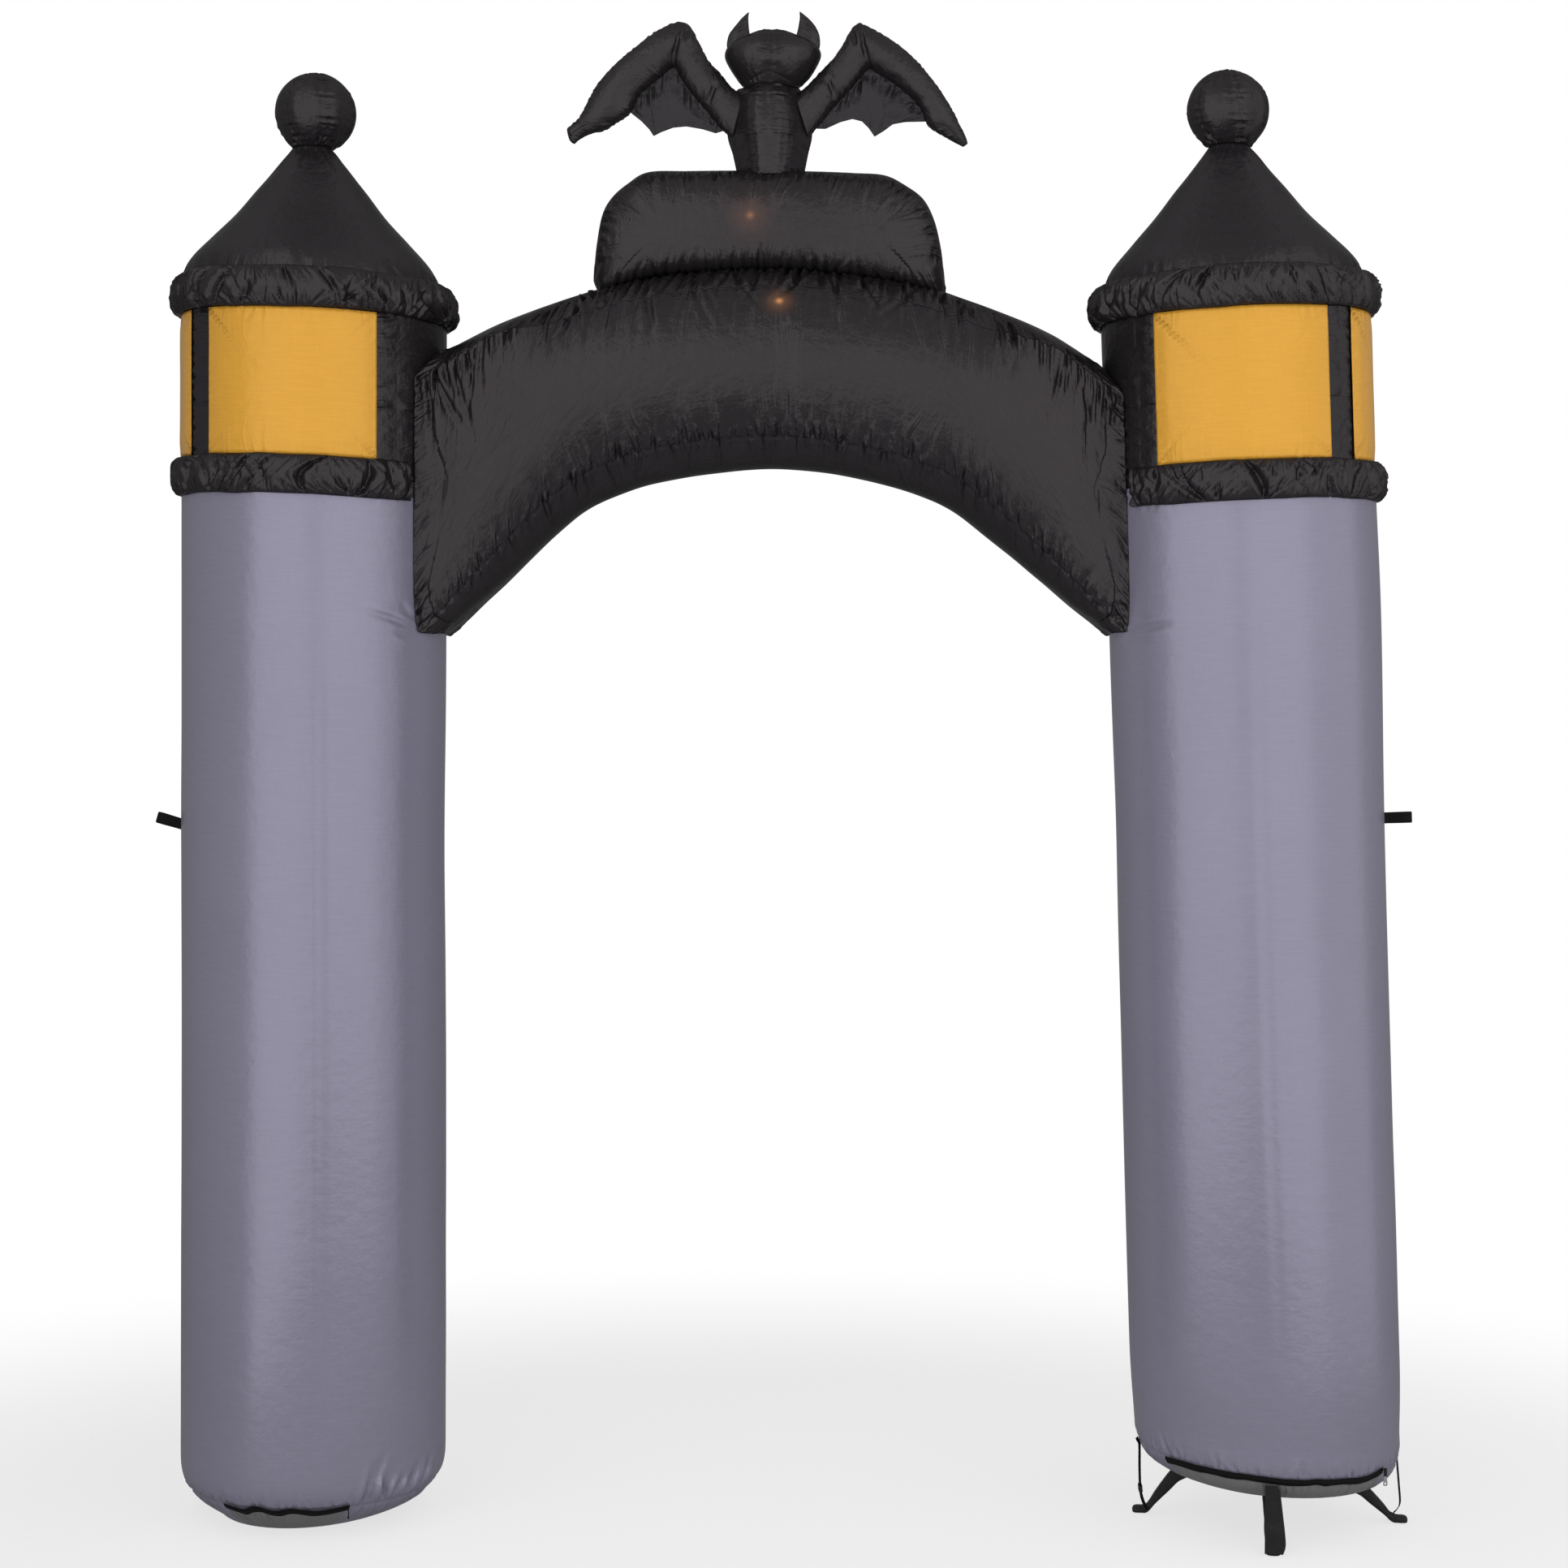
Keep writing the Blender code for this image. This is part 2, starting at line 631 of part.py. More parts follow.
def build_bat(crest_clearance, parent_collection, cutters):
    """Bat: body, head, ears, two bent wing tubes and the thin membranes in their bend."""
    trims = {}
    for name, levels in (("bat_body", BODY_LEVELS), ("bat_head", HEAD_LEVELS)):
        rings = []
        wider = []
        for height, left, right, half_depth in levels:
            ends = ((left, height), (right, height))
            rings.append(oval(*ends, half_depth, 2.0, SECTION_SIDES))
            wider.append(oval(*ends, half_depth, 2.0, SECTION_SIDES, swell=SEWN_GAP))
        made = loft(name, rings, "black_nylon", parent_collection)
        if name == "bat_body":
            cut(made, crest_clearance)
        # The top level is lifted too, so that what stands on it is trimmed clear.
        wider.append(wider[-1] + np.array([0.0, 0.0, SEWN_GAP]))
        trims[name] = loft(name + "_clearance", wider, None, cutters)
    for key in ("left", "right"):
        rings = []
        for outer_x, outer_z, inner_x, inner_z, half_depth in EAR_STATIONS[key]:
            rings.append(oval((outer_x, outer_z), (inner_x, inner_z), half_depth, 2.0, SMALL_SECTION_SIDES))
        ear = loft("bat_ear_" + key, rings, "black_nylon", parent_collection)
        cut(ear, trims["bat_head"])
        rings = []
        for inner_x, inner_z, outer_x, outer_z, half_depth in WING_STATIONS[key]:
            rings.append(oval((inner_x, inner_z), (outer_x, outer_z), half_depth, 2.0, SMALL_SECTION_SIDES))
        wing = loft("bat_wing_" + key, rings, "black_nylon", parent_collection)
        cut(wing, trims["bat_body"])
        upright = Matrix.Rotation(math.radians(90.0), 4, "X")
        outlines = [MEMBRANES[key]]
        name = "bat_membrane_" + key
        prism(name, outlines, MEMBRANE_THICKNESS, upright, "membrane_nylon", parent_collection)


def mirrored(outline):
    """An outline given for one side of its axis, closed over the other side."""
    return [(u, v) for u, v in outline] + [(u, -v) for u, v in reversed(outline)]


def build_loops(parent_collection):
    """Folded webbing loop for a guy line, half way up each column's outer side."""
    for key, (height, tilt) in LOOPS.items():
        side = SIDES[key]
        outward = -1.0 if key == "left" else 1.0
        # Tilted up, the webbing's lower corner is the one that meets the wall.
        reach = COLUMN_RADIUS + SEWN_GAP + LOOP_WIDTH / 2.0 * math.sin(math.radians(tilt))
        start = axis_x(side, height) + outward * reach
        facing = Matrix.Rotation(math.pi if key == "left" else 0.0, 4, "Z")
        raised = Matrix.Rotation(math.radians(-tilt), 4, "Y")
        matrix = Matrix.Translation((start, 0.0, height)) @ facing @ raised
        outlines = [mirrored(LOOP_OUTLINE), mirrored(LOOP_EYE)]
        prism("tether_loop_" + key, outlines, LOOP_WIDTH, matrix, "black_webbing", parent_collection)


def build_zips(parent_collection):
    """Zip tape round the rear of each column's foot, with a cord pull and a steel pull."""
    for key, side in SIDES.items():
        slope = side["bottom_slope"]
        first, last = side["zip_arc"]
        sections = []
        for degrees in np.linspace(first, last, 20):
            corners = []
            for offset in (-ZIP_HALF_WIDTH, ZIP_HALF_WIDTH):
                radius = foot_radius(key, side["zip_height"] + offset) + 0.0018
                height = side["bottom"] + side["zip_height"] + offset
                corners.append((radius, height))
                corners.append((radius + ZIP_THICKNESS, height))
            order = (corners[0], corners[1], corners[3], corners[2])
            sections.append(np.array([on_wall(side, degrees, r, z, slope) for r, z in order]))
        loft("zip_" + key, sections, "zip_tape", parent_collection)
    side = SIDES["left"]
    top = side["zip_height"] + ZIP_HALF_WIDTH
    radius = foot_radius("left", top) + 0.0018 + ZIP_THICKNESS + CORD_RADIUS + SEWN_GAP
    x, y, z = on_wall(side, 27.0, radius, top, 0.0)
    data = bpy.data.curves.new("zip_pull_left", "CURVE")
    data.dimensions = "3D"
    data.bevel_depth = CORD_RADIUS
    data.bevel_resolution = 2
    data.use_fill_caps = True
    spline = data.splines.new("POLY")
    spline.points.add(2)
    for point, (rise, out) in zip(spline.points, ((0.0, 0.0), (-0.0120, 0.0004), (-0.0230, 0.0))):
        point.co = (x, y - out, z + rise, 1.0)
    add("zip_pull_left", data, "pull_cord", parent_collection)
    side = SIDES["right"]
    height = side["bottom"] + side["zip_height"] - 0.0095
    x, y, z = on_wall(side, 51.0, COLUMN_RADIUS + 0.0024, height, side["bottom_slope"])
    facing = Matrix.Rotation(math.radians(51.0), 4, "Z") @ Matrix.Rotation(math.radians(90.0), 4, "X")
    plate = [(-0.0030, -0.0100), (0.0030, -0.0100), (0.0038, -0.0060), (0.0022, 0.0100), (-0.0022, 0.0100)]
    plate.append((-0.0038, -0.0060))
    hole = [(-0.0018, -0.0080), (0.0018, -0.0080), (0.0018, -0.0045), (-0.0018, -0.0045)]
    matrix = Matrix.Translation((x, y, z)) @ facing
    prism("zip_pull_right", [plate, hole], 0.0012, matrix, "zip_steel", parent_collection)


def build_stand(parent_collection):
    """Blower stand: a plain hub under the column and four legs with flat feet."""
    side = SIDES["right"]
    centre_x, centre_y = STAND_CENTRE
    turn = np.arange(32) * 2.0 * math.pi / 32
    rings = []
    # The hub's top lies along the column's sloping bottom.
    for depth in (HUB_DEPTH, SEWN_GAP):
        x = centre_x + HUB_RADIUS * np.cos(turn)
        y = centre_y + HUB_RADIUS * np.sin(turn)
        z = side["bottom"] + side["bottom_slope"] * (x - axis_x(side, side["bottom"])) - depth
        rings.append(np.stack([x, y, z], axis=1))
    loft("stand_hub", rings, "black_plastic", parent_collection)
    for key, (degrees, top, tip) in LEGS.items():
        profile = (
            (HUB_RADIUS + SEWN_GAP, top - 0.0060),
            (0.1500, top - 0.0060),
            (0.2050, 0.0000),
            (tip, 0.0000),
            (tip, 0.0110),
            (0.2215, 0.0145),
            (0.1800, top + 0.0040),
            (0.1500, top + 0.0070),
            (HUB_RADIUS + SEWN_GAP, top + 0.0060),
        )
        # The profile lies in the leg's own upright plane.
        matrix = (
            Matrix.Translation((centre_x, centre_y, 0.0))
            @ Matrix.Rotation(math.radians(degrees + STAND_TURN), 4, "Z")
            @ Matrix.Rotation(math.radians(90.0), 4, "X")
        )
        prism("stand_leg_" + key, [profile], LEG_WIDTH, matrix, "black_plastic", parent_collection)


def build_straps(parent_collection):
    """Webbing from the column's side down to the inner and outer feet, one with a slider."""
    for key, route in STRAPS.items():
        route = np.array(route)
        heading = np.gradient(route, axis=0)
        heading /= np.linalg.norm(heading, axis=1)[:, None]
        normal = np.stack([heading[:, 1], -heading[:, 0]], axis=1) * STRAP_THICKNESS / 2.0
        outline = [tuple(p) for p in route + normal] + [tuple(p) for p in (route - normal)[::-1]]
        upright = Matrix.Rotation(math.radians(90.0), 4, "X")
        prism("leg_strap_" + key, [outline], STRAP_WIDTH, upright, "black_webbing", parent_collection)
    frame = [(-0.0035, -0.0115), (0.0035, -0.0115), (0.0035, 0.0115), (-0.0035, 0.0115)]
    slot = [(-0.0016, -0.0088), (0.0016, -0.0088), (0.0016, 0.0088), (-0.0016, 0.0088)]
    matrix = Matrix.Translation((0.64765, 0.0, 0.0560)) @ Matrix.Rotation(math.radians(-3.3), 4, "Y")
    prism("strap_slider_inner", [frame, slot], 0.0110, matrix, "black_plastic", parent_collection)


def main():
    """Build every piece."""
    clear_scene()
    pieces = collection("inflatable_arch")
    cutters = collection("cutters")
    for key, side in SIDES.items():
        build_column(key, side, pieces)
        build_lower_roll(key, side, pieces)
        build_turret(key, side, pieces)
        build_windows(key, side, pieces)
        build_upper_roll(key, side, pieces)
        build_roof(key, side, pieces)
    arch_clearance = build_arch(pieces, cutters)
    crest_clearance = build_crest(arch_clearance, pieces, cutters)
    build_bat(crest_clearance, pieces, cutters)
    build_loops(pieces)
    build_zips(pieces)
    build_stand(pieces)
    build_straps(pieces)


main()
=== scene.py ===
"""Looks of the inflatable arch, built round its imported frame.

Every blown-up piece is a sampled skin of its own: the smooth inflated form comes first, then
the seams draw it in and the cloth gathers into creases that run off them. Metres, +Z up; the
rear of the arch, the side with the zips, faces -Y.
"""

import logging
import math
from dataclasses import dataclass, field
from enum import Enum
from typing import Any, Optional, Sequence

import bpy
import numpy as np
from mathutils import Matrix, Vector


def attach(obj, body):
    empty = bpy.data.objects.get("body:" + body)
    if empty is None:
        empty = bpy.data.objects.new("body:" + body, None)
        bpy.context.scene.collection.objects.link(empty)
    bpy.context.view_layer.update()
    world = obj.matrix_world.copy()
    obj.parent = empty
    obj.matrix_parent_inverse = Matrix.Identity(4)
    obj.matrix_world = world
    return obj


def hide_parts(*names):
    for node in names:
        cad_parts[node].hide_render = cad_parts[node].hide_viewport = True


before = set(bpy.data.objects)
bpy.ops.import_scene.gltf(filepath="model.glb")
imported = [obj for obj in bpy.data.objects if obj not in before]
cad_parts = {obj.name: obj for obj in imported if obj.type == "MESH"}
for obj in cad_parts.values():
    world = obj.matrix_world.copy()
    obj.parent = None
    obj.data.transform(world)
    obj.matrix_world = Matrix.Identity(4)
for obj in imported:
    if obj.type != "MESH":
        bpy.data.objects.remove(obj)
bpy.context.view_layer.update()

Array = np.ndarray
log = logging.getLogger("arch")


class Side(Enum):
    """The two sides of the arch, as seen from its rear."""

    LEFT = "left"
    RIGHT = "right"

    @property
    def outward(self) -> float:
        """Direction along X that points away from the walkway."""
        return -1.0 if self is Side.LEFT else 1.0


class Ends(Enum):
    """How a sampled skin is closed."""

    OPEN = "open"
    CAPPED = "capped"
    RING = "ring"


# --------------------------------------------------------------------------- cloth forms


def ease(share: Array) -> Array:
    """A share of 0 to 1 that starts and stops gently.

    Args:
        share: Values, cut to 0..1 first.

    Returns:
        The eased values.
    """
    cut = np.clip(share, 0.0, 1.0)
    return cut * cut * (3.0 - 2.0 * cut)


class Drift:
    """Smooth seeded variation over a cloth, about -1 to 1."""

    def __init__(self, seed: int, cell: tuple[float, float], period: Optional[float] = None) -> None:
        """Draw the lattice.

        Args:
            seed: Start of the random row.
            cell: Size of one swell along the first and second direction, in metres.
            period: Length after which the first direction meets itself, if it does.
        """
        self.table = np.random.default_rng(seed).uniform(-1.0, 1.0, (256, 256))
        self.count = 256 if period is None else max(2, round(period / cell[0]))
        self.cell = (cell[0] if period is None else period / self.count, cell[1])

    def at(self, first: Array, second: Array) -> Array:
        """Values at the places given in metres.

        Args:
            first: Places along the first direction.
            second: Places along the second direction.

        Returns:
            The variation at each place.
        """
        one = np.asarray(first) / self.cell[0]
        two = np.asarray(second) / self.cell[1]
        row, column = np.floor(one).astype(int), np.floor(two).astype(int)
        a, b = ease(one - row), ease(two - column)
        row, following = row % self.count, (row + 1) % self.count
        column, beside = column % 256, (column + 1) % 256
        low = self.table[row, column] * (1 - b) + self.table[row, beside] * b
        high = self.table[following, column] * (1 - b) + self.table[following, beside] * b
        return low * (1 - a) + high * a


class Track:
    """A smooth line through the rows of a table."""

    def __init__(self, rows: Sequence[Sequence[float]]) -> None:
        """Keep the table.

        Args:
            rows: One row of numbers for each station.
        """
        self.rows = np.array(rows, float)

    @property
    def last(self) -> float:
        """Place of the last station; the first is 0."""
        return float(len(self.rows) - 1)

    def at(self, place: Array) -> Array:
        """Rows between the stations.

        Args:
            place: Station numbers with fractions, of any shape.

        Returns:
            The table's values there, in one more dimension than place.
        """
        place = np.clip(np.asarray(place, float), 0.0, self.last)
        here = np.minimum(place.astype(int), len(self.rows) - 2)
        f = (place - here)[..., None]
        before, after = np.maximum(here - 1, 0), np.minimum(here + 2, len(self.rows) - 1)
        p0, p1, p2, p3 = self.rows[before], self.rows[here], self.rows[here + 1], self.rows[after]
        bend = (2 * p0 - 5 * p1 + 4 * p2 - p3) * f**2 + (3 * p1 - p0 - 3 * p2 + p3) * f**3
        return 0.5 * (2 * p1 + (p2 - p0) * f + bend)


def lengths(points: Array, axis: int = 0) -> Array:
    """Distance run along a line of points.

    Args:
        points: Points with their coordinates in the last dimension.
        axis: Dimension that the line runs along.

    Returns:
        The running length at each point, from 0.
    """
    steps = np.linalg.norm(np.diff(points, axis=axis), axis=-1)
    start = np.zeros_like(np.take(steps, [0], axis=axis))
    return np.cumsum(np.concatenate([start, steps], axis=axis), axis=axis)


def circle(count: int) -> Array:
    """Angles once round, in radians, without the last one that meets the first."""
    return np.linspace(0.0, 2.0 * math.pi, count + 1)[:-1]


def signed_power(value: Array, power: Any) -> Array:
    """A value raised to a power, with its sign kept."""
    return np.sign(value) * np.abs(value) ** power


def wrapped(value: Array, period: Any) -> Array:
    """A value brought within half a period of 0."""
    return (value + period / 2.0) % period - period / 2.0


def oval(one: Array, two: Array, half_depth: Array, below: Array, above: Array, turn: Array) -> Array:
    """Rounded sections that stand across Y between two points (x, z).

    Args:
        one: Lower or inner points, shape (..., 2).
        two: Upper or outer points, shape (..., 2).
        half_depth: Half of each section's size along Y.
        below: Squareness of the half at the first point; 2 is an ellipse.
        above: Squareness of the half at the second point.
        turn: Angles round the section, from the second point.

    Returns:
        Points of shape (..., turns, 3).
    """
    middle, half = (one + two) / 2.0, (two - one) / 2.0
    cosine, sine = np.cos(turn), np.sin(turn)
    power = np.where(cosine < 0.0, below[..., None], above[..., None])
    share, depth = signed_power(cosine, 2.0 / power), signed_power(sine, 2.0 / power)
    x = middle[..., 0, None] + half[..., 0, None] * share
    z = middle[..., 1, None] + half[..., 1, None] * share
    return np.stack([x, depth * half_depth[..., None], z], axis=-1)


def segment_distance(u: Array, v: Array, line: Any) -> tuple[Array, Array]:
    """How far places on a cloth are from a drawn line.

    Args:
        u: First coordinates.
        v: Second coordinates.
        line: Corners of the line.

    Returns:
        The distance to the line, and the share of the line run at the nearest point.
    """
    corners = np.array(line, float)
    runs = lengths(corners)
    best, share = np.full(np.shape(u), 1e9), np.zeros(np.shape(u))
    for start, end, run, reach in zip(corners[:-1], corners[1:], runs[:-1], runs[1:]):
        along = end - start
        size = float(along @ along) or 1e-12
        t = np.clip(((u - start[0]) * along[0] + (v - start[1]) * along[1]) / size, 0.0, 1.0)
        away = np.hypot(u - start[0] - t * along[0], v - start[1] - t * along[1])
        nearer = away < best
        best = np.where(nearer, away, best)
        share = np.where(nearer, (run + t * (reach - run)) / runs[-1], share)
    return best, share


@dataclass(frozen=True)
class Fold:
    """A crease drawn on a cloth's own coordinates."""

    line: tuple[tuple[float, float], ...]
    width: float = 0.005
    depth: float = 0.002
    lip: float = 0.4

    def relief(self, u: Array, v: Array) -> Array:
        """Height that the crease adds.

        Args:
            u: First cloth coordinate, in metres.
            v: Second cloth coordinate, in metres.

        Returns:
            Metres, negative in the crease.
        """
        away, share = segment_distance(u, v, self.line)
        q = away / self.width
        taper = ease(share / 0.25) * ease((1.0 - share) / 0.35)
        return self.depth * taper * (self.lip * np.exp(-((q - 1.9) ** 2)) - np.exp(-q * q))


@dataclass(frozen=True)
class Seam:
    """A sewn line that draws the cloth in."""

    width: float = 0.0045
    depth: float = 0.003

    def relief(self, away: Array) -> Array:
        """Height that the seam adds at a distance from its line.

        Args:
            away: Distance from the line, in metres.

        Returns:
            Metres, negative in the seam.
        """
        q = np.abs(away) / self.width
        return -self.depth * np.exp(-q * q) - 0.35 * self.depth * np.exp(-q * q / 16.0)


@dataclass(frozen=True)
class Pleats:
    """Short creases that run off a seam, where the cloth is gathered on it."""

    seed: int
    pitch: float = 0.012
    width: tuple[float, float] = (0.003, 0.005)
    reach: tuple[float, float] = (0.02, 0.06)
    depth: tuple[float, float] = (0.0006, 0.0016)
    lean: float = 0.25
    spans: tuple[tuple[float, float], ...] = ()
    slant: float = 0.0

    def relief(self, along: Array, away: Array, length: float, closed: bool = False) -> Array:
        """Height that the gathers add.

        Args:
            along: Distance run along the seam, in metres.
            away: Distance from the seam, in metres; no gathers where it is negative.
            length: Length of the seam.
            closed: Whether the seam meets itself.

        Returns:
            Metres, negative in the creases.
        """
        rng = np.random.default_rng(self.seed)
        shape = np.shape(along)
        s, d = np.ravel(along), np.ravel(np.broadcast_to(away, shape))
        total = np.zeros(s.size)
        near = np.flatnonzero((d >= 0.0) & (d < self.reach[1] * 1.05))
        s, d = s[near], d[near]
        added = np.zeros(s.size)
        for start, stop in self.spans or ((0.0, length),):
            for number in range(max(1, int((stop - start) / self.pitch))):
                place = start + (number + rng.uniform(-0.45, 1.45)) * self.pitch
                width = rng.uniform(*self.width)
                reach = self.reach[0] + (self.reach[1] - self.reach[0]) * rng.uniform() ** 1.6
                depth = rng.uniform(*self.depth)
                lean, bend = self.slant + rng.normal(0.0, self.lean), rng.normal(0.0, self.lean * 6.0)
                gap = s - place - lean * d - bend * d * d
                if closed:
                    gap = wrapped(gap, length)
                hit = np.flatnonzero((np.abs(gap) < 3.2 * width) & (d < reach))
                share = d[hit] / reach
                q = np.abs(gap[hit]) / (width * (0.65 + 0.7 * share))
                fade = ease(share / 0.16 + 0.1) * ease((1.0 - share) / 0.8)
                added[hit] += depth * fade * (0.45 * np.exp(-((q - 1.8) ** 2)) - np.exp(-(q**1.6)))
        total[near] = added
        return total.reshape(shape)


@dataclass
class Cloth:
    """A sampled skin: its points, its place on the cloth and its distance from seams."""

    points: Array
    lay: Array
    pucker: Array = field(default_factory=lambda: np.zeros(0))
    ring: bool = False
    tone: Any = 0.0

    def __post_init__(self) -> None:
        """Start with no puckers where none are given."""
        if self.pucker.size == 0:
            self.pucker = np.zeros(self.points.shape[:2] + (3,))

    def normals(self) -> Array:
        """Outward unit normals, from the grid's own slopes.

        Returns:
            One unit vector a point.
        """
        p = self.points
        around = np.roll(p, -1, axis=1) - np.roll(p, 1, axis=1)
        if self.ring:
            along = np.roll(p, -1, axis=0) - np.roll(p, 1, axis=0)
        else:
            along = np.gradient(p, axis=0)
        normal = np.cross(along, around)
        size = np.linalg.norm(normal, axis=-1, keepdims=True)
        normal = normal / np.maximum(size, 1e-12)
        return normal * self.facing()

    def facing(self) -> float:
        """Which way the grid turns.

        Returns:
            1 where along x around points outward, else -1.
        """
        p = self.points
        around = np.roll(p, -1, axis=1) - np.roll(p, 1, axis=1)
        along = np.gradient(p, axis=0)
        out = p - p.mean(axis=1, keepdims=True)
        return 1.0 if float((np.cross(along, around) * out).sum()) > 0.0 else -1.0

    def press(self, relief: Array) -> None:
        """Move each point along its normal.

        Args:
            relief: Metres outward, one for each point.
        """
        self.points = self.points + self.normals() * relief[..., None]

    def gather(self, run: Array, away: Array, strength: Array) -> None:
        """Say where fine puckers run, for the cloth's finish.

        Args:
            run: Distance along the nearest seam.
            away: Distance from it.
            strength: 0 for smooth cloth, up to 1.
        """
        shape = self.points.shape[:2]
        parts = [np.broadcast_to(value, shape) for value in (run, away, strength)]
        stronger = parts[2] > self.pucker[..., 2]
        self.pucker = np.where(stronger[..., None], np.stack(parts, axis=-1), self.pucker)

    def build(self, name: str, ends: Ends = Ends.CAPPED) -> bpy.types.Object:
        """Make the mesh object.

        Args:
            name: Its name.
            ends: How the first and last rows close.

        Returns:
            The new object, in the scene.
        """
        rows, sides = self.points.shape[:2]
        ring = ends is Ends.RING
        level = np.arange(rows if ring else rows - 1)[:, None] * sides
        above = (level + sides) % (rows * sides)
        side = np.arange(sides)[None, :]
        following = (side + 1) % sides
        corners = (level + side, above + side, above + following, level + following)
        if self.facing() < 0.0:
            corners = corners[::-1]
        faces = np.stack(corners, axis=-1).reshape(-1, 4).tolist()
        if ends is Ends.CAPPED:
            first, last = list(range(sides)), list(range((rows - 1) * sides, rows * sides))
            turned = self.facing() < 0.0
            faces += [first[::-1] if turned else first, last if turned else last[::-1]]
        name += "_shape"
        mesh = bpy.data.meshes.new(name)
        mesh.from_pydata(self.points.reshape(-1, 3).tolist(), [], faces)
        lay = np.zeros((rows * sides, 3))
        lay[:, :2] = self.lay.reshape(-1, 2)
        lay[:, 2] = np.broadcast_to(self.tone, (rows, sides)).ravel()
        for label, values in (("lay", lay), ("pucker", self.pucker.reshape(-1, 3))):
            attribute = mesh.attributes.new(label, "FLOAT_VECTOR", "POINT")
            attribute.data.foreach_set("vector", values.astype(np.float32).ravel())
        mesh.polygons.foreach_set("use_smooth", np.ones(len(mesh.polygons), bool))
        mesh.update()
        made = bpy.data.objects.new(name, mesh)
        bpy.context.scene.collection.objects.link(made)
        return made


# --------------------------------------------------------------------------- finishes


class Wire:
    """A socket that adds Math nodes when it is used in a sum."""

    def __init__(self, net: "Net", socket: Any) -> None:
        """Wrap one output socket of a material's nodes."""
        self.net, self.socket = net, socket

    def _math(self, operation: str, *values: Any) -> "Wire":
        """One Math node on the values, clamped nowhere."""
        return self.net.node("ShaderNodeMath", {"operation": operation}, dict(enumerate(values)))

    def __add__(self, other: Any) -> "Wire":
        """The sum."""
        return self._math("ADD", self, other)

    def __radd__(self, other: Any) -> "Wire":
        """The sum, with a number first."""
        return self._math("ADD", other, self)

    def __sub__(self, other: Any) -> "Wire":
        """The difference."""
        return self._math("SUBTRACT", self, other)

    def __rsub__(self, other: Any) -> "Wire":
        """The difference, with a number first."""
        return self._math("SUBTRACT", other, self)

    def __mul__(self, other: Any) -> "Wire":
        """The product."""
        return self._math("MULTIPLY", self, other)

    def __rmul__(self, other: Any) -> "Wire":
        """The product, with a number first."""
        return self._math("MULTIPLY", other, self)

    def __pow__(self, other: Any) -> "Wire":
        """The power."""
        return self._math("POWER", self, other)

    def exponential(self) -> "Wire":
        """e to the value."""
        return self._math("EXPONENT", self)

    def sine(self) -> "Wire":
        """The sine of the value."""
        return self._math("SINE", self)

    def fitted(self, low: float, high: float, to_low: float = 0.0, to_high: float = 1.0) -> "Wire":
        """The value eased from one range to another.

        Args:
            low: Value that gives to_low.
            high: Value that gives to_high.
            to_low: Result at low and beyond it.
            to_high: Result at high and beyond it.

        Returns:
            The eased value.
        """
        inputs = {"Value": self, "From Min": low, "From Max": high, "To Min": to_low, "To Max": to_high}
        return self.net.node("ShaderNodeMapRange", {"interpolation_type": "SMOOTHSTEP"}, inputs)


